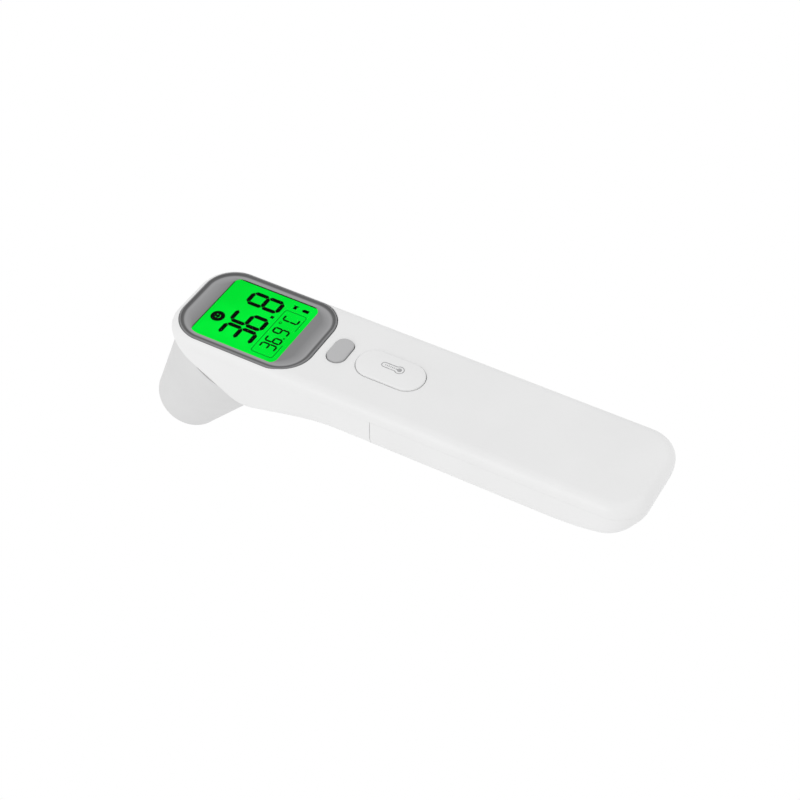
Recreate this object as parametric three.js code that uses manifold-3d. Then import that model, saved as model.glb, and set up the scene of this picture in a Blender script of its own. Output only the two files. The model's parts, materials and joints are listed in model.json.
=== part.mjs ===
// Infrared ear and forehead thermometer: a slim handheld body with a square display in its head, a mode
// button and a scan button on the top face, a battery door that slides off the back of the handle, and a
// capped probe that leans forward out of the head's underside.
//
// Millimetres. Everything is drawn from the centre of the display, in the plane of the top face: +X runs
// towards the handle's end, +Y to the right of someone reading the display, +Z out of the display. The
// exported group is moved so that its origin is a point of the handle's flat back.

import * as THREE from "three";
import { mergeVertices } from "three/addons/utils/BufferGeometryUtils.js";
import Module from "manifold-3d";

const wasm = await Module();
wasm.setup();

// ---------------------------------------------------------------- driving dimensions

const deg = Math.PI / 180;
const ARC = 6; // chords in a quarter turn of a large corner
const HALF_ARC = ARC / 2; // three.js puts twice this many chords in each arc of a shape
const ROUND = 20; // sides of a small round piece
const GAP = 0.3; // between a moving piece and its neighbours, and along the casing's seams
const FIT = 0.1; // between pieces that rest on each other
const WALL = 1.6; // casing wall
const FRONT_WALL = 2.5; // the front wall, where the slanted face meets it, is this many times as thick
const FAR = 200; // longer than anything here

// Casing
const FRONT_X = -25.6;
const END_X = 134.9;
const BODY_W = 36.5;
const HEAD_CORNER_R = 12;
const END_CORNER_R = 10.5;
const TOP_EDGE_R = 3.6;
const HEAD_EDGE_R = 2; // along the underside: tight in the head, full in the handle
const HANDLE_EDGE_R = 7;
const END_RISE = { length: 29, corner: 0.3, z: -4.9 }; // the underside curves up to the end's face
const HANDLE_H = 17;
const CHIN_X = 3; // lowest part of the head
const NECK_END_X = 38; // the underside is level from here on
const DOOR_X = 50; // front edge of the battery door
const SEAM_Z = -4.1; // the front shell is above this seam, the rear shell and the door below
const DATUM_X = 90; // the exported origin, on the handle's back

// Probe, measured outwards along its axis from the display's centre
const PROBE_TILT = 32 * deg; // forward from straight down
const SEAT = 16.3; // the slanted face that the cap rests on
const CAP_R = 18;
const CAP_SHOULDER = { r: 17.5, along: 24 }; // the side is straight from here to the tip
const CAP_TIP = 57;
const CAP_TIP_R = 11.5; // where the side meets the rounded tip
const CAP_WALL = 1.5;
const CAP_HOLE_R = 5;
const PROBE_TIP = 53.5;
const NECK_R = 7.6; // the probe housing's neck, through the rear shell
const NECK_START = 12.9;
const SENSOR_BOARD = { r: 3.6, start: 39, end: 39.9 };

// Display
const BEZEL = { x: 23, y: 16.5, r: 10.4, top: 0.35, bottom: -2, sag: 0.7 }; // its long sides sit lower by sag
const SCREEN = { x: -1.2, halfX: 15.3, halfY: 14, r: 2.6 }; // the visible part of the display
const WINDOW_TOP = -1.2;
const WINDOW_T = 0.6;
const LCD = { x0: -16.9, x1: 18, y: 14.5, top: -2, t: 1.4 };
const BACKLIGHT_T = 1.2;

// Buttons
const MODE = { x: 29.4, length: 6, width: 10.4, r: 2.9, top: 1.1 };
const SCAN = { x: 46.8, length: 22.4, width: 11.6, r: 5.6, top: 0.95 };
const FLANGE = 0.8; // how far a button's flange reaches under the casing
const FLANGE_T = 0.7;

// Circuit board
const BOARD = { x0: -11, x1: 54, y: 14.4, top: -6.2, t: 1.2 };
const SWITCH = { side: 6, top: -3.6, plungerR: 1.6, plungerTop: -3 };

// Batteries: two AAA cells, side by side
const CELL_R = 5.25;
const CELL_L = 44.5;
const CELL_Y = 5.6;
const CELL_Z = -9.4;
const BAY = { x0: 66, x1: 118.6, y: 11.4, top: -4.1 };
const TRAY = { x0: 47, x1: 121, top: -3, inset: 2.1, wall: 1.3 };
const CORING = { near: 1.4, far: 3.6, low: -8.6 }; // beside the bay, measured out from its side
const RAIL = { x0: 70, x1: 117.5, z0: -10.5, z1: -9.7, inset: 2.7 }; // on the door, in the tray's grooves
const TAB = { half: 1.2, z0: -7, z1: -6.6, length: 4.5 }; // of the front contacts, through the bay's wall

// Screws: the long ones and the short ones join the casing, the others hold the board
const LONG_SCREWS = { x: 58.5, y: 10.9, r: 0.95, bossR: 2.6, bossEnd: -12.6, seat: -13.8, end: -6.2 };
const SHORT_SCREWS = { x: 126, y: 7, r: 0.95, bossR: 2.6, bossEnd: -8.7, seat: -10.6, end: -4.5 };
const BOARD_SCREWS = {
  x: 26,
  y: 12.5,
  r: 0.8,
  bossR: 2.2,
  bossEnd: BOARD.top + FIT,
  seat: BOARD.top - BOARD.t - FIT,
  end: -3.2,
};
const SCREW_CLEAR = 0.2; // between a shank and its hole

// ---------------------------------------------------------------- solids from three.js geometry

/** A closed three.js geometry as a manifold solid. */
function solid(geometry) {
  const bare = new THREE.BufferGeometry();
  bare.setAttribute("position", geometry.getAttribute("position"));
  if (geometry.index) bare.setIndex(geometry.index);
  const merged = mergeVertices(bare, 1e-5);
  const corners = merged.index.array;
  const faces = [];
  for (let i = 0; i < corners.length; i += 3) {
    const [a, b, c] = corners.slice(i, i + 3);
    if (a !== b && b !== c && c !== a) faces.push(a, b, c);
  }
  return new wasm.Manifold(
    new wasm.Mesh({
      numProp: 3,
      vertProperties: new Float32Array(merged.attributes.position.array),
      triVerts: new Uint32Array(faces),
    }),
  );
}

/**
 * A closed solid through rings with equally many points, an even number, each ring turning left about the way
 * on. The first and last rings are closed with strips between their first and second halves.
 */
function loft(rings) {
  const n = rings[0].length;
  const last = (rings.length - 1) * n;
  const index = [];
  for (let start = 0; start < last; start += n) {
    for (let i = 0; i < n; i++) {
      const a = start + i;
      const b = start + ((i + 1) % n);
      index.push(a, b, b + n, a, b + n, a + n);
    }
  }
  for (let i = 0; i + 1 < n / 2; i++) {
    const [a, b, c, d] = [i, i + 1, n - 2 - i, n - 1 - i];
    index.push(a, c, b, a, d, c);
    index.push(last + a, last + b, last + c, last + a, last + c, last + d);
  }
  const geometry = new THREE.BufferGeometry().setFromPoints(rings.flat());
  geometry.setIndex(index);
  return solid(geometry);
}

/** Joins solids into one. */
function join(...solids) {
  return solids.reduce((sum, next) => sum.add(next));
}

/** Cuts every tool out of a solid. */
function cut(blank, ...tools) {
  return tools.reduce((rest, tool) => rest.subtract(tool), blank);
}

/** A shape drawn in x and y, extruded from z = low to z = high. */
function plate(shape, low, high, curveSegments = HALF_ARC) {
  const options = { depth: high - low, bevelEnabled: false, curveSegments };
  return solid(new THREE.ExtrudeGeometry(shape, options).translate(0, 0, low));
}

/** A shape drawn in x and z, extruded from y = near to y = far. */
function slice(shape, near = -FAR, far = FAR) {
  const options = { depth: far - near, bevelEnabled: false, curveSegments: 4 };
  return solid(new THREE.ExtrudeGeometry(shape, options).rotateX(90 * deg).translate(0, far, 0));
}

function box(x0, x1, y0, y1, z0, z1) {
  const geometry = new THREE.BoxGeometry(x1 - x0, y1 - y0, z1 - z0);
  return solid(geometry.translate((x0 + x1) / 2, (y0 + y1) / 2, (z0 + z1) / 2));
}

/** A round solid about a vertical axis at x, y. Its profile is [radius, z] points, upwards on the outside. */
function turned(profile, { x = 0, y = 0, sides = ROUND } = {}) {
  const points = profile.map(([r, z]) => new THREE.Vector2(r, z));
  return solid(new THREE.LatheGeometry(points, sides).rotateX(90 * deg).translate(x, y, 0));
}

function cylinder(x, y, r, low, high, sides = ROUND) {
  return turned([[0, low], [r, low], [r, high], [0, high]], { x, y, sides });
}

/** A tube of radius r along a curve. */
function wire(curve, r, steps) {
  const round = new THREE.Shape().absarc(0, 0, r, 0, 360 * deg);
  return solid(new THREE.ExtrudeGeometry(round, { extrudePath: curve, steps, curveSegments: HALF_ARC }));
}

/** A rectangle with round corners, from x0 to x1 and from y0 to y1. */
function roundedRect(x0, x1, y0, y1, r) {
  const s = new THREE.Shape();
  s.moveTo(x0 + r, y0);
  s.lineTo(x1 - r, y0);
  s.absarc(x1 - r, y0 + r, r, -90 * deg, 0);
  s.lineTo(x1, y1 - r);
  s.absarc(x1 - r, y1 - r, r, 0, 90 * deg);
  s.lineTo(x0 + r, y1);
  s.absarc(x0 + r, y1 - r, r, 90 * deg, 180 * deg);
  s.lineTo(x0, y0 + r);
  s.absarc(x0 + r, y0 + r, r, 180 * deg, 270 * deg);
  return s;
}

/** A rounded rectangle about x = cx, as a level ring of points at height z. */
function levelRing(cx, halfX, halfY, r, z) {
  const ring = [];
  const corners = [[1, -1], [1, 1], [-1, 1], [-1, -1]];
  corners.forEach(([sx, sy], corner) => {
    for (let i = 0; i <= ARC; i++) {
      const turn = (corner - 1 + i / ARC) * 90 * deg;
      const x = cx + sx * (halfX - r) + r * Math.cos(turn);
      const y = sy * (halfY - r) + r * Math.sin(turn);
      ring.push(new THREE.Vector3(x, y, z));
    }
  });
  return ring;
}

// The probe's own frame: +Z out along the probe's axis, +X towards the handle.
const PROBE_FRAME = new THREE.Matrix4().makeBasis(
  new THREE.Vector3(Math.cos(PROBE_TILT), 0, -Math.sin(PROBE_TILT)),
  new THREE.Vector3(0, -1, 0),
  new THREE.Vector3(-Math.sin(PROBE_TILT), 0, -Math.cos(PROBE_TILT)),
);

/** A round solid about the probe's axis. Its profile is [radius, distance along the axis] points. */
function probeTurned(profile, sides = ROUND) {
  const points = profile.map(([r, along]) => new THREE.Vector2(r, along));
  return solid(new THREE.LatheGeometry(points, sides).rotateX(90 * deg).applyMatrix4(PROBE_FRAME));
}

/** A point of the probe's own frame, in the body's frame. */
function probePoint(across, along) {
  return new THREE.Vector3(across, 0, along).applyMatrix4(PROBE_FRAME);
}

// ---------------------------------------------------------------- the casing's form

/** Height of the slanted face under the head, at x. */
function slantZ(x) {
  return -(SEAT + x * Math.sin(PROBE_TILT)) / Math.cos(PROBE_TILT);
}

/** The body's underside seen from the side, as a function that gives its height at x. */
function underside(inset) {
  const chinZ = slantZ(CHIN_X);
  const path = new THREE.Path();
  path.moveTo(FRONT_X - WALL, slantZ(FRONT_X - WALL));
  path.lineTo(CHIN_X - 3.5, slantZ(CHIN_X - 3.5));
  path.quadraticCurveTo(CHIN_X, chinZ, CHIN_X + 5, chinZ + 0.9);
  path.bezierCurveTo(CHIN_X + 13, chinZ + 2.4, NECK_END_X - 12, -HANDLE_H, NECK_END_X, -HANDLE_H);
  path.lineTo(END_X - END_RISE.length, -HANDLE_H);
  path.quadraticCurveTo(END_X - END_RISE.corner, -HANDLE_H, END_X, END_RISE.z);
  const points = path.getPoints(32).map((point, i, all) => {
    const along = all[Math.min(i + 1, all.length - 1)].clone().sub(all[Math.max(i - 1, 0)]).normalize();
    return { x: point.x - along.y * inset, z: point.y + along.x * inset };
  });
  return (x) => {
    const next = points.findIndex((point) => point.x >= x);
    if (next < 1) return points[next < 0 ? points.length - 1 : 0].z;
    const [before, after] = [points[next - 1], points[next]];
    return THREE.MathUtils.mapLinear(x, before.x, after.x, before.z, after.z);
  };
}

/** How far a rounded edge of radius r stands off from the flat, at a distance in from the edge. */
function edgeDrop(distance, r) {
  const left = r - THREE.MathUtils.clamp(distance, 0, r);
  return r - Math.sqrt(r * r - left * left);
}

/** Distances in from an edge of radius r that divide its quarter turn evenly, from the edge's end inwards. */
function edgeSteps(r, steps) {
  return Array.from({ length: steps + 1 }, (_, i) => r * (1 - Math.cos((i / steps) * 90 * deg)));
}

/** The whole casing as one solid form, inset from its outer surface. */
function casing(inset = 0) {
  const [front, end, halfY] = [FRONT_X + FRONT_WALL * inset, END_X - inset, BODY_W / 2 - inset];
  const [headR, endR] = [HEAD_CORNER_R - inset, END_CORNER_R - inset];
  const topR = Math.max(TOP_EDGE_R - inset, 0.5);
  const low = underside(inset);

  const halfWidth = (x) => {
    const intoHead = Math.max(front + headR - x, 0);
    const intoEnd = Math.max(x - end + endR, 0);
    const r = intoHead > 0 ? headR : endR;
    return halfY - r + Math.sqrt(Math.max(r * r - Math.max(intoHead, intoEnd) ** 2, 0));
  };
  const topZ = (x, y, d) => -inset - edgeDrop(d, topR);
  const bottomZ = (x, y) => {
    const level = Math.min(low(x), -inset - topR - 0.3);
    const handle = THREE.MathUtils.smoothstep(x, CHIN_X, NECK_END_X);
    const r = Math.max(THREE.MathUtils.lerp(HEAD_EDGE_R, HANDLE_EDGE_R, handle) - inset, 0.5);
    const room = -inset - topR - 0.1 - level;
    return level + edgeDrop(halfWidth(x) - Math.abs(y), Math.min(r, room));
  };

  const stations = [CHIN_X - 9, CHIN_X - 3.5];
  for (let i = 1; i <= 3; i++) stations.push(CHIN_X - 3.5 + (i / 3) * 8.5);
  for (let i = 1; i <= 9; i++) stations.push(THREE.MathUtils.lerp(CHIN_X + 5, NECK_END_X, i / 9));
  for (let i = 0; i <= 4; i++) stations.push(END_X - END_RISE.length + 3.5 * i);

  const ring = (d, height) => {
    const side = [];
    for (let i = 0; i <= ARC; i++) {
      const turn = (180 - (90 * i) / ARC) * deg;
      side.push([front + headR + (headR - d) * Math.cos(turn), halfY - headR + (headR - d) * Math.sin(turn)]);
    }
    for (const x of stations) side.push([x, halfY - d]);
    for (let i = 0; i <= ARC; i++) {
      const turn = (90 - (90 * i) / ARC) * deg;
      side.push([end - endR + (endR - d) * Math.cos(turn), halfY - endR + (endR - d) * Math.sin(turn)]);
    }
    const loop = [...side, ...side.map(([x, y]) => [x, -y]).reverse()];
    return loop.map(([x, y]) => new THREE.Vector3(x, y, height(x, y, d)));
  };
  const topRings = edgeSteps(topR, 4).reverse().map((d) => ring(d, topZ));
  const bottomRings = edgeSteps(Math.max(HANDLE_EDGE_R - inset, 1), ARC).map((d) => ring(d, bottomZ));
  return loft([...topRings, ...bottomRings]);
}

/** Everything above (side = 1) or below (side = -1) the casing's seam, less half of the seam's gap. */
function besideSeam(side) {
  const edge = SEAM_Z + (side * GAP) / 2;
  return side > 0 ? box(-FAR, FAR, -FAR, FAR, edge, FAR) : box(-FAR, FAR, -FAR, FAR, -FAR, edge);
}

const OUTER = casing();
const INNER = casing(WALL);
const WALLS = OUTER.subtract(INNER);

// ---------------------------------------------------------------- casing pieces

/** Makes something at both screws of a pair. */
function bothScrews(pair, make) {
  return [1, -1].map((side) => make(pair.x, side * pair.y, pair));
}

/** A boss that hangs from the inside of the top face, with a screw hole in its end. */
function boss(x, y, { r, bossR, bossEnd, end }) {
  return {
    post: cylinder(x, y, bossR, bossEnd, -WALL + 0.4, 16),
    hole: cylinder(x, y, r + SCREW_CLEAR, bossEnd - 1, end + 0.8, 12),
  };
}

function frontShell() {
  const bosses = [LONG_SCREWS, SHORT_SCREWS, BOARD_SCREWS].flatMap((pair) => bothScrews(pair, boss));
  const top = [-WALL - 1, 2];
  const clear = 0.2;
  const bezelHole = loft(top.map((z) => levelRing(0, BEZEL.x + clear, BEZEL.y + clear, BEZEL.r + clear, z)));
  const buttonHoles = [MODE, SCAN].map((b) =>
    loft(top.map((z) => levelRing(b.x, b.length / 2 + GAP, b.width / 2 + GAP, b.r + GAP, z))),
  );
  const shell = join(WALLS.intersect(besideSeam(1)), ...bosses.map((b) => b.post));
  return cut(shell, ...bosses.map((b) => b.hole), bezelHole, ...buttonHoles);
}

/** A box on one side of the body, from y = side * near to y = side * far. */
function sideBox(side, x0, x1, near, far, z0, z1) {
  return box(x0, x1, Math.min(side * near, side * far), Math.max(side * near, side * far), z0, z1);
}

/** The space in the tray for the board's end. */
function boardBay() {
  const inset = TRAY.inset + TRAY.wall;
  const halfY = BODY_W / 2 - inset;
  const [x0, x1] = [TRAY.x0 - 1, BAY.x0 - 2];
  return join(
    casing(inset).intersect(box(x0, x1, -FAR, FAR, -FAR, FAR)),
    box(x0, x1, -halfY, halfY, BOARD.top - BOARD.t - 0.6, FAR),
  );
}

/** The battery tray that the rear shell carries inside the door. */
function batteryTray() {
  const blank = casing(TRAY.inset).intersect(box(TRAY.x0, TRAY.x1, -FAR, FAR, -FAR, TRAY.top));
  const cellBay = box(BAY.x0, BAY.x1, -BAY.y, BAY.y, -FAR, BAY.top);
  const hollows = [1, -1].flatMap((side) => [
    sideBox(side, BAY.x0 + 1, BAY.x1 - 1, BAY.y + CORING.near, BAY.y + CORING.far, CORING.low, FAR),
    sideBox(side, RAIL.x0 - 1, TRAY.x1 + 1, BODY_W / 2 - RAIL.inset - GAP, FAR, RAIL.z0 - 0.4, RAIL.z1 + 0.4),
  ]);
  const tabY = TAB.half + GAP;
  const tabSlots = [CELL_Y, -CELL_Y].map((y) => {
    return box(BAY.x0 - 3, BAY.x0 + 1, y - tabY, y + tabY, TAB.z0 - GAP, TAB.z1 + GAP);
  });
  const padTop = LONG_SCREWS.bossEnd - GAP;
  const pads = bothScrews(LONG_SCREWS, (x, y) => {
    return cylinder(x, y, 3.3, padTop - 1.9, padTop, 16).intersect(blank);
  });
  const lugTop = SHORT_SCREWS.bossEnd - GAP;
  const lugY = SHORT_SCREWS.y + 3;
  const lug = box(TRAY.x1 - 1, SHORT_SCREWS.x + 3.5, -lugY, lugY, lugTop - 1.4, lugTop);
  const counterbore = { r: 2.3, deep: LONG_SCREWS.seat + FIT };
  const holes = [
    ...bothScrews(LONG_SCREWS, (x, y, { r }) => cylinder(x, y, r + SCREW_CLEAR, -HANDLE_H, padTop + 1, 12)),
    ...bothScrews(LONG_SCREWS, (x, y) => cylinder(x, y, counterbore.r, -HANDLE_H, counterbore.deep, 16)),
    ...bothScrews(SHORT_SCREWS, (x, y, { r }) => cylinder(x, y, r + SCREW_CLEAR, -HANDLE_H, lugTop + 1, 12)),
  ];
  const tray = join(cut(blank, boardBay(), cellBay, ...hollows), ...pads, lug);
  return cut(tray, ...holes, ...tabSlots);
}

function rearShell() {
  const head = box(-FAR, DOOR_X - GAP / 2, -FAR, FAR, -FAR, FAR);
  const below = WALLS.intersect(head).intersect(besideSeam(-1));
  const rimZone = box(TRAY.x0 - 0.5, DOOR_X - GAP / 2, -FAR, FAR, -FAR, FAR);
  const rimBlank = casing(WALL / 2).intersect(rimZone).intersect(besideSeam(-1));
  const rim = rimBlank.subtract(casing(TRAY.inset + TRAY.wall));
  const probeHole = probeDisc(NECK_R + 0.2, NECK_START - 3, SEAT + 4);
  return cut(join(below, rim, batteryTray()), probeHole);
}

function batteryDoor() {
  const handle = box(DOOR_X + GAP / 2, FAR, -FAR, FAR, -FAR, FAR);
  const halfY = BODY_W / 2;
  const rails = [1, -1].map((side) => {
    return sideBox(side, RAIL.x0, RAIL.x1, halfY - RAIL.inset, halfY - WALL / 2, RAIL.z0, RAIL.z1);
  });
  return join(WALLS.intersect(handle).intersect(besideSeam(-1)), ...rails);
}

// ---------------------------------------------------------------- probe

/** The cap's outer surface from its rim to the flat of its tip, as [radius, along] points. */
function capSide() {
  const edgeR = 2.4;
  const steps = 4;
  const points = [[CAP_R, SEAT + GAP], [CAP_R, SEAT + 3.5], [CAP_SHOULDER.r, CAP_SHOULDER.along]];
  for (let i = 0; i <= steps; i++) {
    const turn = (i / steps) * 90 * deg;
    points.push([CAP_TIP_R - edgeR * (1 - Math.cos(turn)), CAP_TIP - edgeR * (1 - Math.sin(turn))]);
  }
  return points;
}

function probeCap() {
  const inside = [
    [CAP_HOLE_R, CAP_TIP],
    [CAP_HOLE_R, CAP_TIP - CAP_WALL],
    [CAP_TIP_R - CAP_WALL - 1, CAP_TIP - CAP_WALL],
    [CAP_TIP_R - CAP_WALL, CAP_TIP - CAP_WALL - 1.6],
    [CAP_SHOULDER.r - CAP_WALL, CAP_SHOULDER.along],
    [CAP_R - CAP_WALL, SEAT + 3.5],
    [CAP_R - CAP_WALL, SEAT + GAP],
  ];
  return probeTurned([...capSide(), ...inside, [CAP_R, SEAT + GAP]], 36);
}

/** The ear probe: a flange on the slanted face, a flare and a slender tip, hollow for the sensor. */
function probeHousing() {
  const start = SEAT + GAP;
  const flangeR = CAP_R - CAP_WALL - 0.8;
  return probeTurned([
    [NECK_R - 1.4, NECK_START],
    [NECK_R, NECK_START],
    [NECK_R, start],
    [flangeR, start],
    [flangeR - 0.4, start + 2],
    [12.4, start + 3.4],
    [8.9, start + 9],
    [6.9, start + 18],
    [5.8, PROBE_TIP - 4],
    [5.3, PROBE_TIP - 1],
    [4.4, PROBE_TIP],
    [3.1, PROBE_TIP],
    [3.1, PROBE_TIP - 1.3],
    [4.2, PROBE_TIP - 1.3],
    [4.2, start + 22],
    [NECK_R - 1.4, start + 6],
    [NECK_R - 1.4, NECK_START],
  ], 28);
}

function probeRing(innerR, outerR, start, end, sides = ROUND) {
  const profile = [[innerR, start], [outerR, start], [outerR, end], [innerR, end], [innerR, start]];
  return probeTurned(profile, sides);
}

function probeDisc(r, start, end) {
  return probeTurned([[0, start], [r, start], [r, end], [0, end]]);
}

/** Metal tube that holds the sensor and evens out its temperature. */
function sensorSleeve() {
  const front = PROBE_TIP - 1.9;
  const back = front - 10.6;
  return probeTurned([
    [2.9, back],
    [3.9, back],
    [3.9, front],
    [1.7, front],
    [1.7, front - 2],
    [2.9, front - 2],
    [2.9, back],
  ]);
}

/** Thermopile in its can, with the flange at its back. */
function thermopile() {
  const front = PROBE_TIP - 5;
  const back = front - 4.4;
  const can = { r: 2.35, flangeR: 2.7, flangeT: 0.6 };
  return probeTurned([
    [0, back],
    [can.flangeR, back],
    [can.flangeR, back + can.flangeT],
    [can.r, back + can.flangeT],
    [can.r, front],
    [0, front],
  ]);
}

/** Flat cable from the sensor's board to the main board. */
function sensorCable() {
  const low = probePoint(0.5, SENSOR_BOARD.start - FIT);
  const neck = probePoint(0.5, 14);
  const end = new THREE.Vector3(neck.x + 4.2, 0, BOARD.top - BOARD.t - FIT);
  const band = new THREE.Shape();
  const thick = 0.4;
  band.moveTo(low.x, low.z);
  band.lineTo(low.x + thick, low.z);
  band.lineTo(neck.x + thick, neck.z);
  band.quadraticCurveTo(neck.x + 2, neck.z + 2.6, end.x + thick, end.z);
  band.lineTo(end.x, end.z);
  band.quadraticCurveTo(neck.x + 2 - thick, neck.z + 2.6, neck.x, neck.z);
  return slice(band, -2.5, 2.5);
}

// ---------------------------------------------------------------- display

function displayBezel() {
  const { x, y, r, top, bottom, sag } = BEZEL;
  const edge = 0.35;
  const ring = (inset, z) => {
    const points = levelRing(0, x - inset, y - inset, r - inset, z);
    points.forEach((point) => (point.z -= sag * (point.y / y) ** 2));
    return points;
  };
  const outer = loft([levelRing(0, x, y, r, bottom), ring(0, top - edge), ring(edge, top)]);
  const dish = loft([
    levelRing(SCREEN.x, SCREEN.halfX, SCREEN.halfY, SCREEN.r, bottom - 1),
    levelRing(SCREEN.x, SCREEN.halfX, SCREEN.halfY, SCREEN.r, -0.9),
    ring(1.8, -0.3),
    ring(1, top + 0.01),
  ]);
  const windowPocket = plate(windowOutline(FIT), bottom - 1, WINDOW_TOP + FIT);
  return cut(outer, dish, windowPocket);
}

/** The window's outline, which reaches under the bezel's lip all round. */
function windowOutline(clear) {
  const halfX = SCREEN.halfX + 1.1 + clear;
  const halfY = SCREEN.halfY + 0.9 + clear;
  return roundedRect(SCREEN.x - halfX, SCREEN.x + halfX, -halfY, halfY, 2.2);
}

function displayWindow() {
  return plate(windowOutline(0), WINDOW_TOP - WINDOW_T, WINDOW_TOP);
}

function lcdGlass() {
  return box(LCD.x0, LCD.x1, -LCD.y, LCD.y, LCD.top - LCD.t, LCD.top);
}

function lcdBacklight() {
  const top = LCD.top - LCD.t - FIT;
  return box(LCD.x0 + 0.3, SCREEN.x + SCREEN.halfX + 0.8, -LCD.y + 0.3, LCD.y - 0.3, top - BACKLIGHT_T, top);
}

/** Frame that clamps the display and its backlight over the board, slotted for the strip connector. */
function lcdHolder() {
  const floor = LCD.top - LCD.t - BACKLIGHT_T - 2 * FIT;
  const base = BOARD.top + FIT;
  const outline = roundedRect(LCD.x0 - 1.5, LCD.x1 + 1.5, -LCD.y - 1.4, LCD.y + 1.4, 3);
  const frame = plate(outline, base, LCD.top - 0.4).intersect(casing(WALL + GAP));
  const pocket = box(LCD.x0 - 0.2, LCD.x1 + 0.2, -LCD.y - 0.2, LCD.y + 0.2, floor, 0);
  const slot = box(LCD.x1 - 2.9, LCD.x1 - 0.3, -13.3, 13.3, base - 1, 0);
  return cut(frame, pocket, slot);
}

/** Elastomer strip between the display's contacts and the board. */
function lcdConnector() {
  return box(LCD.x1 - 2.5, LCD.x1 - 0.7, -13, 13, BOARD.top + FIT, LCD.top - LCD.t - FIT);
}

// ---------------------------------------------------------------- buttons and board

/** A button cap: a crowned top through the casing, a flange under it and a stem over the switch. */
function button({ x, length, width, r, top }) {
  const edge = 0.5;
  const flangeTop = -WALL - GAP;
  const flangeLow = flangeTop - FLANGE_T;
  const cap = loft([
    levelRing(x, length / 2, width / 2, r, flangeTop - 0.2),
    levelRing(x, length / 2, width / 2, r, top - edge),
    levelRing(x, length / 2 - edge, width / 2 - edge, r - edge, top),
  ]);
  const reach = FLANGE + GAP;
  const flange = loft(
    [flangeLow, flangeTop].map((z) => levelRing(x, length / 2 + reach, width / 2 + reach, r + reach, z)),
  );
  const stem = cylinder(x, 0, 1.4, SWITCH.plungerTop + FIT, flangeLow + 0.2, 12);
  return join(cap, flange, stem);
}

/** The body of a push switch, with the well that its plunger sinks into. */
function switchBody({ x }) {
  const half = SWITCH.side / 2;
  const block = box(x - half, x + half, -half, half, BOARD.top + FIT, SWITCH.top);
  return cut(block, cylinder(x, 0, SWITCH.plungerR + GAP, SWITCH.top - 1.7, 0, 16));
}

function switchPlunger({ x }) {
  return cylinder(x, 0, SWITCH.plungerR, SWITCH.top - 0.9, SWITCH.plungerTop, 16);
}

function mainBoard() {
  const outline = roundedRect(BOARD.x0, BOARD.x1, -BOARD.y, BOARD.y, 2);
  const board = plate(outline, BOARD.top - BOARD.t, BOARD.top);
  const screwHoles = bothScrews(BOARD_SCREWS, (x, y) => cylinder(x, y, 1.3, -FAR, 0, 12));
  return cut(board, ...screwHoles);
}

/** A chip under the board. */
function chip(x, y, sizeX, sizeY, height) {
  const top = BOARD.top - BOARD.t - FIT;
  return box(x - sizeX / 2, x + sizeX / 2, y - sizeY / 2, y + sizeY / 2, top - height, top);
}

function buzzer() {
  const top = BOARD.top - BOARD.t - FIT;
  const can = cylinder(42, 0, 6, top - 2.8, top, 24);
  return cut(can, cylinder(42, 0, 1, top - 4, top - 2, 12));
}

// ---------------------------------------------------------------- batteries and contacts

/** An AAA cell whose button end faces -X (facing = -1) or +X (facing = 1). */
function cell(x0, y, facing) {
  const nub = 0.8;
  const profile = [
    [0, 0],
    [CELL_R - 0.5, 0],
    [CELL_R, 0.5],
    [CELL_R, CELL_L - nub - 0.5],
    [CELL_R - 0.5, CELL_L - nub],
    [1.9, CELL_L - nub],
    [1.9, CELL_L],
    [0, CELL_L],
  ];
  const points = profile.map(([r, z]) => new THREE.Vector2(r, z));
  const geometry = new THREE.LatheGeometry(points, ROUND).rotateZ(-facing * 90 * deg);
  return solid(geometry.translate(facing > 0 ? x0 : x0 + CELL_L, y, CELL_Z));
}

/** A contact spring that starts inside a plate at x0 and winds along X to x1. */
function contactSpring(x0, x1, y) {
  class Coil extends THREE.Curve {
    getPoint(t) {
      const turns = 3.5;
      const r = 3.6 - 1.2 * t;
      const angle = t * turns * 360 * deg;
      return new THREE.Vector3(x0 + (x1 - x0) * t, y + r * Math.cos(angle), CELL_Z + r * Math.sin(angle));
    }
  }
  return wire(new Coil(), 0.3, 36);
}

/** A contact plate against the bay's front wall, with a tab towards the board. */
function frontContact(y) {
  const front = BAY.x0 + FIT;
  const leaf = box(front, front + 0.5, y - 4.4, y + 4.4, CELL_Z - 4, CELL_Z + 4.6);
  return leaf.add(box(BAY.x0 - TAB.length, front + 0.2, y - TAB.half, y + TAB.half, TAB.z0, TAB.z1));
}

function minusContact() {
  return frontContact(-CELL_Y).add(contactSpring(BAY.x0 + 0.3, 72, -CELL_Y));
}

/** The plate at the bay's back that joins the two cells, with the second spring. */
function bridgeContact() {
  const back = BAY.x1 - FIT;
  const leaf = box(back - 0.5, back, -10.4, 10.4, CELL_Z - 4, CELL_Z + 4.6);
  return leaf.add(contactSpring(back - 0.2, 112.3, CELL_Y));
}

/** Insulated lead from a contact's tab to the board's end. */
function lead(side) {
  const path = new THREE.CatmullRomCurve3([
    new THREE.Vector3(60.9, side * CELL_Y, -6.8),
    new THREE.Vector3(58.5, side * CELL_Y, -6.6),
    new THREE.Vector3(55.5, side * (CELL_Y - 0.6), -5.6),
    new THREE.Vector3(52.6, side * (CELL_Y - 0.8), BOARD.top + FIT + 0.6),
  ]);
  return wire(path, 0.6, 8);
}

// ---------------------------------------------------------------- screws

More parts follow.
